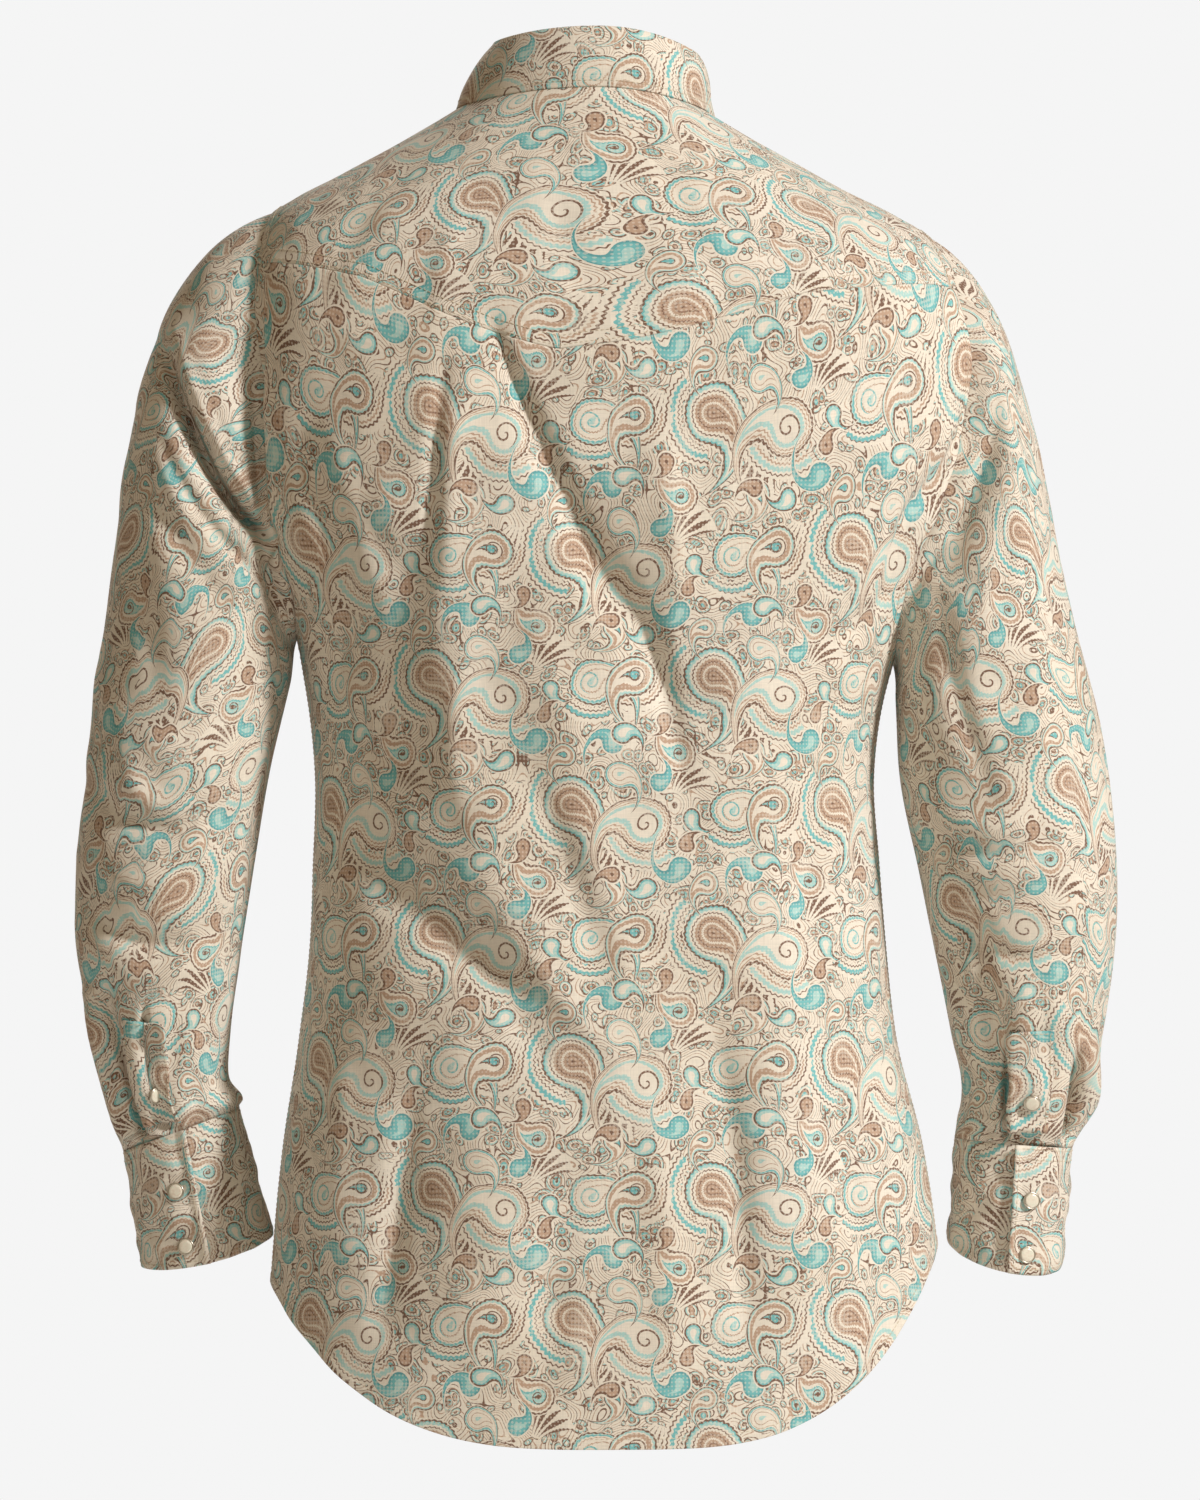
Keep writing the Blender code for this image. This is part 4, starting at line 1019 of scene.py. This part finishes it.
def teardrop(net, fill, place, row, colour):
    """Bands by the radius times the cosine of how far the curled angle falls short of the tip's."""
    (radius, angle), (_, _, _, size, tip, curl, style) = place, row
    curled = net.math("MULTIPLY_ADD", radius, 2 * size * curl, angle)
    short = net.math("SUBTRACT", math.acos(1 / tip), net.math("PINGPONG", curled, math.pi))
    distance = net.math("MULTIPLY", radius, net.math("COSINE", net.math("MAXIMUM", short, 0.0)))
    if size > SCALLOP_FROM:
        scallop = net.math("PINGPONG", net.math("MULTIPLY", curled, size / 2.0), 1.0)
        distance = net.math("MULTIPLY_ADD", scallop, 0.022, distance)
    stops = [*((p / 2, name) for p, name in BANDS[style]), (0.5, None)]
    return painted(net, fill, distance, stops, colour)


def spiral(net, fill, place, row, colour):
    """A line where the radius and the angle add up to a whole turn."""
    (radius, angle), (_, turns, way, name) = place, row
    arm = net.math("MULTIPLY_ADD", radius, 2 * turns, net.math("MULTIPLY", angle, way / (2 * math.pi)))
    line = net.math("LESS_THAN", net.math("PINGPONG", arm, 0.5), 0.1)
    return net.mix(net.math("MULTIPLY", line, net.math("LESS_THAN", radius, 0.24)), fill, colour[name])


def new_group(name, sockets):
    """An empty node group with its sockets, its net of nodes, its start and its end."""
    group = bpy.data.node_groups.new(name, "ShaderNodeTree")
    for label, way, kind in sockets:
        group.interface.new_socket(name=label, in_out=way, socket_type="NodeSocket" + kind)
    net = Net(group)
    return net, net.node("NodeGroupInput"), net.node("NodeGroupOutput")


def paisley_group(colours):
    """The print: scrolls on a cream ground, fans, ringed teardrops and spirals, then specks."""
    sockets = [("Cut", "INPUT", "Vector"), ("Colour", "OUTPUT", "Color")]
    net, start, end = new_group("paisley print", sockets)
    colour = {n: (*getattr(colours, n), 1) for n in ("ground", "brown", "tan", "teal", "deep", "aqua")}
    flat = net.vector("MULTIPLY", start.outputs[0], (1 / MM,) * 3)
    bend = net.vector("SUBTRACT", net.noise(flat, 0.05, 0.0, "Color"), (0.5,) * 3)
    wobble = net.vector("MULTIPLY_ADD", bend, (9.0,) * 3, flat)
    near = net.vector("MULTIPLY_ADD", bend, (2.4,) * 3, flat)
    axes = [(1 / REPEAT_ACROSS, way / REPEAT_DOWN, 0) for way in (1, -1)]
    places = [net.vector("DOT_PRODUCT", near, axis) for axis in axes]
    cell = net.feed(net.node("CombineXYZ"), places).outputs[0]
    fill = ground_fill(net, near, wobble, colour)
    for row in FANS:
        fill = fan(net, fill, cell, row, colour)
    places = [in_cell(net, cell, *row[:3], 2 * row[3]) for row in TEARDROPS]
    for row in RINGS:
        fill = wavy_rings(net, fill, places[row[0]], row, colour)
    for place, row in zip(places, TEARDROPS):
        fill = teardrop(net, fill, place, row, colour)
    for row in CURLS:
        fill = spiral(net, fill, places[row[0]], row, colour)
    waves = net.vector("SINE", net.vector("MULTIPLY", near, (math.pi / STIPPLE_PITCH,) * 3))
    dots = net.math("GREATER_THAN", net.vector("DOT_PRODUCT", waves, waves), 1.5)
    net.feed(end, (net.mix(net.math("MULTIPLY", dots, 0.4), fill, colour["ground"]),))


def weave_group():
    """A plain weave: two sine waves crossed, as a height, with slubs from stretched noise."""
    sockets = [("Cut", "INPUT", "Vector"), ("Height", "OUTPUT", "Float"), ("Slub", "OUTPUT", "Float")]
    net, start, end = new_group("plain weave", sockets)
    cut = start.outputs[0]
    turns = net.vector("SINE", net.vector("MULTIPLY", cut, (THREADS * 2 * math.pi,) * 3))
    parts = net.feed(net.node("SeparateXYZ"), (turns,)).outputs
    height = net.math("MULTIPLY_ADD", net.math("MULTIPLY", parts[0], parts[1]), 0.5, 0.5)
    ways = ((1400.0, 90.0, 1.0), (90.0, 1400.0, 1.0))
    slubs = [net.noise(net.vector("MULTIPLY", cut, way), 1.0, 1.0) for way in ways]
    net.feed(end, (height, net.math("MULTIPLY", net.math("ADD", *slubs), 0.5)))


def new_material(name):
    """An empty material's net of nodes and its shader."""
    made = bpy.data.materials.new(name)
    made.use_nodes = True
    return Net(made.node_tree), made.node_tree.nodes["Principled BSDF"]


def printed_cotton(name, colours, fade):
    """Cotton with the print, slubs and a plain weave; fade mixes the print toward the ground."""
    net, shader = new_material(name)
    cut = net.node("UVMap", uv_map="cut").outputs[0]
    groups = [bpy.data.node_groups[title] for title in ("paisley print", "plain weave")]
    paisley, weave = [net.feed(net.node("Group", node_tree=group), (cut,)).outputs for group in groups]
    colour = net.mix(fade, paisley[0], (*colours.ground, 1))
    slub = net.steps(weave["Slub"], [(0.3, (0.86,) * 3), (0.7, (1.05,) * 3)], smooth=True)
    colour = net.mix(0.8, colour, slub, "MULTIPLY")
    tint = [(0.3, (0.95, 0.93, 0.9)), (0.7, (1.0, 1.0, 1.0))]
    tint = net.steps(net.noise(cut, 9.0, 1.0), tint, smooth=True)
    crush = net.bump(net.noise(cut, 70.0, 2.0), 0.35, 0.0012)
    net.feed(shader, {
        "Base Color": net.mix(0.7, colour, tint, "MULTIPLY"),
        "Roughness": net.math("MULTIPLY_ADD", weave["Slub"], 0.15, 0.76),
        "Normal": net.bump(weave["Height"], 0.5, 0.00012, crush),
        "Sheen Weight": 0.12,
        "Sheen Roughness": 0.5,
        "Specular IOR Level": 0.25,
    })


def mottled(name, colour, scale, detail, tones, rough=None, distortion=0.0, **fixed):
    """A noise as shares of one colour, and as the roughness times one number plus another."""
    net, shader = new_material(name)
    place = net.node("TexCoord").outputs["Object"]
    cloud = net.noise(place, scale, detail, "Fac", "3D", distortion)
    tones = [(at, tuple(np.array(colour) * share)) for at, share in tones]
    net.feed(shader, {"Base Color": net.steps(cloud, tones, smooth=True)})
    if rough:
        net.feed(shader, {"Roughness": net.math("MULTIPLY_ADD", cloud, *rough)})
    net.feed(shader, {key.replace("_", " "): value for key, value in fixed.items()})


def finish(name):
    """One of the shirt's materials, by name."""
    return bpy.data.materials[name]


# ---------------------------------------------------------------- properties and operators
def length_property(name, description, default):
    """A length, in metres."""
    return bpy.props.FloatProperty(
        name=name, description=description, default=default, min=0.0, precision=5, subtype="DISTANCE",
        unit="LENGTH",
    )


def colour_property(name, description, default):
    """A colour without its alpha."""
    return bpy.props.FloatVectorProperty(
        name=name, description=description, default=default, size=3, min=0.0, max=1.0, subtype="COLOR"
    )


class ShirtSizes(bpy.types.PropertyGroup):
    """Sizes that a maker would change."""

    cloth_wall: length_property("Cloth", "Thickness of one layer of cotton", 0.0008)
    layered_wall: length_property("Layered cloth", "Thickness of the collar, cuffs and plackets", 0.001)
    stitch_length: length_property("Stitch", "Length of one topstitch", 0.0024)
    stitch_pitch: length_property("Stitch pitch", "From one topstitch to the next", 0.0032)
    thread_width: length_property("Thread", "Width of the sewing thread", 0.00042)
    camera_distance: length_property("Camera distance", "From the camera to the shirt's middle", 7.0)
    view_height: length_property("View height", "Height that the photograph shows", 0.9)


class ShirtColours(bpy.types.PropertyGroup):
    """Colours of the print, thread, snaps and floor."""

    ground: colour_property("Ground", "Cream ground of the cotton", (0.785, 0.72, 0.62))
    brown: colour_property("Brown", "Outlines, fronds and dots", (0.20, 0.115, 0.08))
    tan: colour_property("Tan", "Rose tan fills", (0.50, 0.345, 0.25))
    teal: colour_property("Teal", "Main teal", (0.18, 0.49, 0.50))
    deep: colour_property("Deep teal", "Darker teal", (0.12, 0.36, 0.38))
    aqua: colour_property("Aqua", "Pale aqua fills", (0.41, 0.64, 0.61))
    thread: colour_property("Thread", "Topstitching", (0.66, 0.56, 0.41))
    pearl: colour_property("Pearl", "Snap caps", (0.76, 0.70, 0.58))
    metal: colour_property("Metal", "Snap rims", (0.62, 0.56, 0.47))
    floor: colour_property("Floor", "Studio floor", (0.86, 0.86, 0.85))


# Where each lamp stands, in metres, its width, power and colour.
LIGHTS = [
    ("key", (-3.0, 2.25, 1.5), 0.6, 184.0, (1.0, 0.985, 0.97)),
    ("fill", (0.9, 3.8, 0.5), 1.6, 14.0, (1.0, 0.92, 0.8)),
    ("front", (0.6, -3.0, 0.9), 2.4, 60.0, (1.0, 1.0, 1.0)),
]
WORLD_LIGHT, BACKDROP = (0.225, 0.176, 0.115, 1), (0.913, 0.913, 0.913, 1)
FLOOR_RADIUS, FLOOR_LEVEL = 1700, -1350
SEAM_STITCHES = (1.8, 6.8)  # the two rows beside a felled seam


class Step:
    """What the operators share: each makes its own pieces in the scene."""

    def execute(self, context):
        self.make(context.scene)
        return {"FINISHED"}


class SHIRT_OT_materials(Step, bpy.types.Operator):
    """Make the printed cotton, thread, pearl, metal and floor materials"""

    bl_idname = "shirt.materials"
    bl_label = "Materials"

    def make(self, scene):
        colours = scene.shirt_colours
        paisley_group(colours)
        weave_group()
        printed_cotton("printed cotton", colours, 0.0)
        printed_cotton("cotton reverse", colours, 0.45)
        twist = [(0.35, 0.8), (0.65, 1)]
        mottled("sewing thread", colours.thread, 2600.0, 1.0, twist, Roughness=0.7, Sheen_Weight=0.2)
        lustre = [(0.3, (0.9, 0.84, 0.8)), (0.5, 1), (0.7, (0.92, 1, 0.98))]
        mottled(
            "snap pearl", colours.pearl, 260.0, 3.0, lustre, (0.2, 0.12), 1.6,
            Coat_Weight=0.6, Coat_Roughness=0.08, Specular_IOR_Level=0.6,
        )
        brushed, cloudy = [(0.3, 0.85), (0.7, 1)], [(0.3, 0.98), (0.7, 1)]
        mottled("snap metal", colours.metal, 1500.0, 2.0, brushed, (0.25, 0.2), Metallic=1.0)
        mottled("studio floor", colours.floor, 1.2, 2.0, cloudy, Roughness=0.9)


class SHIRT_OT_yoke(Step, bpy.types.Operator):
    """Make the one-piece yoke"""

    bl_idname = "shirt.yoke"
    bl_label = "Yoke"

    def make(self, scene):
        place = spread_out(0.0, YOKE_LAST, 176, (0.02, 0.06, 0.12))
        (outer_phi, outer_level), neck_phi = yoke_edge(place), yoke_neck(place)
        down = np.concatenate([np.linspace(0, 0.97, 60), 1 - np.array(FINE[::-1]) / 130, [1.0]])[:, None]
        phi, level = lerp(neck_phi[None], outer_phi[None], down), down * outer_level[None]
        edges = ("start", "end", "bottom")
        points = seamed(body_point(phi, level), body_normal(phi, level), edges, edges)
        cloth("yoke_panel", points, yoke_cut(points, neck_phi), (52, 40), "yoke", scene.shirt_sizes.cloth_wall)


class SHIRT_OT_back(Step, bpy.types.Operator):
    """Make the back below the yoke"""

    bl_idname = "shirt.back"
    bl_label = "Back"

    def make(self, scene):
        share = spread_out(0.0, 1.0, 186, np.array(FINE) / 400)
        near_top = np.array(FINE) / 600
        phis, parts = [], []
        for side in ("right", "left"):
            phi, level = side_edge(side, np.linspace(YOKE_BACK_NODE * NODE_TURN, math.pi, 70), 128)
            part = (level - level[0]) / (level[-1] - level[0])
            phis.append(np.concatenate([phi[:1], np.interp(near_top, part, phi), phi[1:]]))
            parts.append(part)
        part = lerp(parts[0][:, None], parts[1][:, None], share[None])
        part = np.insert(part, 1, near_top[:, None] * np.ones(len(share)), axis=0)
        order = np.argsort(part[:, 0])
        part = part[order]
        phi = lerp(phis[0][order][:, None], phis[1][order][:, None], share[None])
        phi[0], top_level = yoke_seam(share)
        hem = hem_level(lerp(-math.pi / 2, math.pi / 2, share))
        level = lerp(top_level[None], hem[None], part)
        normal = body_normal(phi, level)
        points = seamed(body_point(phi, level), normal, ("start", "end", "top"), ("start", "end"))
        points = hemmed(points, normal, phi, level)
        cloth(
            "back_panel", points, back_cut(phi, level), (11, 20), "back", scene.shirt_sizes.cloth_wall,
        )


class SHIRT_OT_fronts(Step, bpy.types.Operator):
    """Make the two fronts and the snap placket"""

    bl_idname = "shirt.fronts"
    bl_label = "Fronts"

    def make(self, scene):
        sizes = scene.shirt_sizes
        for side, shift in (("left", (30, 90)), ("right", (70, 10))):
            phi, level = front_grid(side)
            normal = body_normal(phi, level)
            points = seamed(body_point(phi, level), normal, ("start", "top"), ("start",))
            points = hemmed(points, normal, phi, level)
            if side == "right":
                dip = smoothstep((points[..., 0] + UNDER_START) / UNDER_RUN) * (points[..., 1] < 0)
                points = points - normal * (dip * UNDER_DIP)[..., None]
            cloth(
                f"front_panel_{side}", points, front_cut(phi, level), shift, "front_" + side, sizes.cloth_wall,
                flip=side == "right",
            )
        half = [0, 0.3, 0.6, 0.82, 0.9, 0.96, 1]
        across = np.array([-share for share in half[:0:-1]] + half)[None] * PLACKET_WIDTH / 2
        across, level = np.broadcast_arrays(across, np.maximum(front_grid("left")[1][:, -1:], 1.0))
        groove = 0.35 * np.exp(-(((np.abs(across) - PLACKET_WIDTH / 2 + 4.5) / 1.2) ** 2))
        normal = body_normal(np.full_like(level, math.pi), level)
        points = placket_point(across, level) - normal * groove[..., None]
        cloth(
            "placket_strip", points, grid_cut(points), (8, 60), "front_placket", sizes.layered_wall,
            flip=True,
        )


class SHIRT_OT_collar(Step, bpy.types.Operator):
    """Make the collar and its stand"""

    bl_idname = "shirt.collar"
    bl_label = "Collar"

    def make(self, scene):
        wall = scene.shirt_sizes.layered_wall
        right, left = (front_grid(side)[0][0][-1] for side in ("right", "left"))
        points = stand_point(*np.meshgrid(np.linspace(right, left, 150), np.linspace(1, 0, 16)))
        cloth("collar_band", points, grid_cut(points), (20, 66), "collar_stand", wall)
        points = fall_grid()
        cloth(
            "collar_fall", points, grid_cut(points, from_end=True), (96, 30), "collar", wall,
        )


class SHIRT_OT_sleeves(Step, bpy.types.Operator):
    """Make the sleeves and the strips beside their slits"""

    bl_idname = "shirt.sleeves"
    bl_label = "Sleeves"

    def make(self, scene):
        sizes = scene.shirt_sizes
        even = np.linspace(-math.pi, math.pi, 225)
        cap, rest = np.linspace(0.01, CAP_SHARE, 84), np.linspace(CAP_SHARE, 1, 112)[1:]
        down = np.concatenate([np.array([0, *FINE]) / 600, cap, rest])
        turn, share = np.meshgrid(even + 0.18 * np.sin(2 * even), down)
        for side, shift in (("left", (14, 38)), ("right", (64, 118))):
            points = sleeve_point(side, turn, share, SEAM_DIP)
            cloth(
                f"sleeve_tube_{side}", points, grid_cut(points, 0.75, from_end=True), shift, "sleeve_" + side,
                sizes.cloth_wall, closed=True, flip=side == "left",
            )
            points = slit_strip(side, np.array([0, 0.04, 0.1, 0.2, 0.4, 0.6, 0.8, 0.9, 0.96, 1.0]))
            cloth(
                f"slit_strip_{side}", points, grid_cut(points, from_end=True), (40, 12),
                "sleeve_placket_" + side, sizes.layered_wall,
                flip=side == "right",
            )


class SHIRT_OT_cuffs(Step, bpy.types.Operator):
    """Make the cuffs"""

    bl_idname = "shirt.cuffs"
    bl_label = "Cuffs"

    def make(self, scene):
        for side in ARMHOLES:
            points = cuff_grid(side)
            cloth(
                f"cuff_band_{side}", points, grid_cut(points), (26, 100), "cuff_" + side,
                scene.shirt_sizes.layered_wall, flip=side == "right",
            )


def inner_path(points, away, which, start=0.0, end=0.0, sign=0):
    """A path away millimetres inside one edge of a grid, cut short at its start and end."""
    normal = unit(np.cross(np.gradient(points, axis=1), np.gradient(points, axis=0)))
    if which in ("start", "end"):
        points, normal = points.swapaxes(0, 1), normal.swapaxes(0, 1)
    if which in ("end", "bottom"):
        points, normal = points[::-1], normal[::-1]
    run = walked(points, 0).mean(axis=1)
    at = np.interp(away, run, np.arange(len(run)))
    row, t = int(at), at - int(at)
    path, normal = lerp(points[row], points[row + 1], t), lerp(normal[row], normal[row + 1], t)
    run = walked(path[:, None], 0)[:, 0]
    keep = (run >= start) & (run <= run[-1] - end)
    path, normal = path[keep], normal[keep]
    return (path + normal * sign * 0.05, normal * sign) if sign else (path, normal)


def on_body(phi, level, lift=LAP_RISE):
    """A path a little above the torso's cloth, and its normals."""
    phi, level = np.broadcast_arrays(phi, level)
    normal = body_normal(phi, level)
    return body_point(phi, level) + normal * lift, normal


class SHIRT_OT_stitching(Step, bpy.types.Operator):
    """Topstitch the yoke, armholes, side seams, hem, placket, collar, cuffs and slits"""

    bl_idname = "shirt.stitching"
    bl_label = "Stitching"

    def make(self, scene):
        sizes = scene.shirt_sizes
        phi, level = yoke_seam(np.linspace(0.005, 0.995, 400))
        rows = [on_body(phi, level - away) for away in SEAM_STITCHES]
        for side, (sign, _, bottom, *_) in ARMHOLES.items():
            rows.append(on_body(*armhole(side, np.linspace(0, 2 * math.pi, 500), 6.6)))
            low = float(hem_level(np.array(sign * math.pi / 2)))
            for away in SEAM_STITCHES:
                phi = sign * (math.pi / 2 - away / SIDE_RADIUS)
                rows.append(on_body(phi, np.linspace(bottom + 10, low - 8, 300)))
        turns = np.linspace(-3.0, 3.0, 1400)
        rows.append(on_body(turns, hem_level(turns) - 6.2, 0.15))
        stitches("stitching_body", rows, sizes)

        level = np.linspace(2.0, FRONT_LENGTH_LEVEL - 4, 500)
        normal = body_normal(np.full(500, math.pi), level)
        beside = PLACKET_WIDTH / 2 - 5
        rows = [(placket_point(np.full(500, across), level), normal) for across in (-beside, beside)]
        fall, edges = fall_grid(), (("bottom", 4), ("start", 10), ("end", 10))
        rows += [inner_path(fall, 5.0, edge, cut, 4) for edge, cut in edges]
        stitches("stitching_front_and_collar", rows, sizes)

        rows = []
        for side, (sign, *_) in ARMHOLES.items():
            cuff, strip = cuff_grid(side), slit_strip(side, np.linspace(0, 1, 12))
            for edge, away, cut in (("top", 1.6, 30), ("top", 7.0, 30), ("bottom", 3.0, 30), ("start", 3.0, 3)):
                rows.append(inner_path(cuff, away, edge, 3, cut, sign))
            rows += [inner_path(strip, 1.8, edge, 1, 1, sign) for edge in ("start", "end", "top")]
        stitches("stitching_sleeves", rows, sizes)


# The snap's metal rim and pearl: radius and height, from the middle of its back to that of its cap.
RIM_PROFILE = [(0, 0.2), (4.9, 0.2), (5.2, 0.5), (5.2, 1.2), (5.0, 1.65), (4.6, 1.75), (4.3, 1.6), (4.15, 1.25)]
PEARL_PROFILE = [(4.1, 1.7), (3.8, 2.0), (3.2, 2.15), (2.2, 2.2), (1.1, 2.2), (0, 2.2)]


def snap(name, place, outward, node):
    """A lathed cap: a metal rim's profile and a pearl's, turned round the outward direction."""
    profile = np.array(RIM_PROFILE + PEARL_PROFILE, float)
    outward = unit(np.asarray(outward, float))
    side = unit(np.cross(outward, [0.0, 0.0, 1.0]))
    up = np.cross(side, outward)
    turn = np.arange(40) * math.pi / 20
    ring = np.cos(turn)[:, None] * side + np.sin(turn)[:, None] * up
    points = place + profile[:, 0][:, None, None] * ring[None]
    points = points + (profile[:, 1] + SNAP_GAP)[:, None, None] * outward
    faces, _ = grid_faces(len(profile), 41, True, True)
    slots = np.repeat(np.arange(len(profile) - 1) >= len(RIM_PROFILE) - 1, 40)
    finishes = [finish("snap metal"), finish("snap pearl")]
    thing = make_mesh(name, points.reshape(-1, 3), faces, finishes, slots=slots)
    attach(thing, BODY)
    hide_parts(node)


class SHIRT_OT_snaps(Step, bpy.types.Operator):
    """Make the pearl snaps"""

    bl_idname = "shirt.snaps"
    bl_label = "Snaps"

    def make(self, scene):
        turn, height = np.array(math.pi + 0.02), np.array(0.45)
        across = stand_point(turn + 0.02, height) - stand_point(turn - 0.02, height)
        down = stand_point(turn, height - 0.1) - stand_point(turn, height + 0.1)
        snap("pearl_stand", stand_point(turn, height), np.cross(across, down), "snap_stand")
        for number in range(PLACKET_SNAPS):
            level = np.array(FIRST_SNAP_LEVEL + SNAP_PITCH * number)
            place, outward = placket_point(np.array(0.01), level), body_normal(np.array(math.pi), level)
            snap(f"pearl_front_{number + 1}", place, outward, f"snap_front_{number + 1}")
        for side in ARMHOLES:
            turn = np.array(math.radians(CUFF_SLIT_DEG[side] - SNAP_TURN_DEG))
            for number, height in enumerate(CUFF_SNAP_HEIGHTS):
                place = cuff_point(side, turn, np.array(height), CUFF_LIFT)
                centre = cuff_point(side, turn, np.array(height), -20.0)
                snap(f"pearl_cuff_{side}_{number + 1}", place, place - centre, f"snap_cuff_{side}_{number + 1}")
            share = np.full((1, 1), SLIT_SNAP_SHARE)
            turn = slit_turn(side, share) - math.radians(SNAP_TURN_DEG)
            place, outward = sleeve_face(side, turn, share, STRIP_LIFT)
            snap(f"pearl_slit_{side}", place[0, 0], outward[0, 0], f"snap_slit_{side}")


class SHIRT_OT_stage(Step, bpy.types.Operator):
    """Make the floor, the lights and the camera"""

    bl_idname = "shirt.stage"
    bl_label = "Stage"

    def make(self, scene):
        def placed(name, data, place):
            thing = bpy.data.objects.new(name, data)
            scene.collection.objects.link(thing)
            thing.location = place
            return thing

        turn, radius = np.arange(64) * math.pi / 32, np.linspace(0, FLOOR_RADIUS, 12)[:, None]
        points = np.stack([radius * np.cos(turn), radius * np.sin(turn), FLOOR_LEVEL + 0 * radius * turn], -1)
        faces, _ = grid_faces(12, 65, True, True)
        make_mesh("studio_floor", points.reshape(-1, 3), faces, [finish("studio floor")])
        for name, place, size, power, colour in LIGHTS:
            data = bpy.data.lights.new(name, "AREA")
            data.shape, data.size, data.energy, data.color = "DISK", size, power, colour
            aim = Vector((0, 0, -0.4)) - Vector(place)
            placed(name, data, place).rotation_euler = aim.to_track_quat("-Z", "Y").to_euler()
        scene.world = bpy.data.worlds.new("studio")
        scene.world.use_nodes = True
        tree = scene.world.node_tree
        net = Net(tree)
        seen = net.node("LightPath").outputs["Is Camera Ray"]
        net.feed(tree.nodes["Background"], {"Color": net.mix(seen, WORLD_LIGHT, BACKDROP)})
        sizes = scene.shirt_sizes
        data = bpy.data.cameras.new("camera")
        data.sensor_width = 36.0
        data.lens = 36.0 * sizes.camera_distance / sizes.view_height
        data.clip_end = 60.0
        scene.camera = placed("camera", data, (-0.0018, sizes.camera_distance, -0.384))
        scene.camera.rotation_euler = (math.pi / 2, 0, math.pi)
        scene.view_settings.view_transform = "Standard"


OPERATORS = (
    SHIRT_OT_materials,
    SHIRT_OT_yoke,
    SHIRT_OT_back,
    SHIRT_OT_fronts,
    SHIRT_OT_collar,
    SHIRT_OT_sleeves,
    SHIRT_OT_cuffs,
    SHIRT_OT_stitching,
    SHIRT_OT_snaps,
    SHIRT_OT_stage,
)


class SHIRT_PT_panel(bpy.types.Panel):
    """The shirt's sizes, colours and pieces in the 3D view's sidebar"""

    bl_idname = "SHIRT_PT_panel"
    bl_label = "Western shirt"
    bl_space_type = "VIEW_3D"
    bl_region_type = "UI"
    bl_category = "Shirt"

    def draw(self, context):
        for group in (context.scene.shirt_sizes, context.scene.shirt_colours):
            for name in group.bl_rna.properties.keys():
                if name not in ("rna_type", "name"):
                    self.layout.prop(group, name)
        for operator in OPERATORS:
            self.layout.operator(operator.bl_idname)


CLASSES = (ShirtSizes, ShirtColours, *OPERATORS, SHIRT_PT_panel)


def register():
    """Add the classes and the two groups of properties."""
    for kind in CLASSES:
        bpy.utils.register_class(kind)
    bpy.types.Scene.shirt_sizes = bpy.props.PointerProperty(type=ShirtSizes)
    bpy.types.Scene.shirt_colours = bpy.props.PointerProperty(type=ShirtColours)


def unregister():
    """Take them away again."""
    del bpy.types.Scene.shirt_colours
    del bpy.types.Scene.shirt_sizes
    for kind in reversed(CLASSES):
        bpy.utils.unregister_class(kind)


def main():
    """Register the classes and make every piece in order."""
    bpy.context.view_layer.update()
    register()
    for operator in OPERATORS:
        group, name = operator.bl_idname.split(".")
        getattr(getattr(bpy.ops, group), name)()


if __name__ == "__main__":
    main()
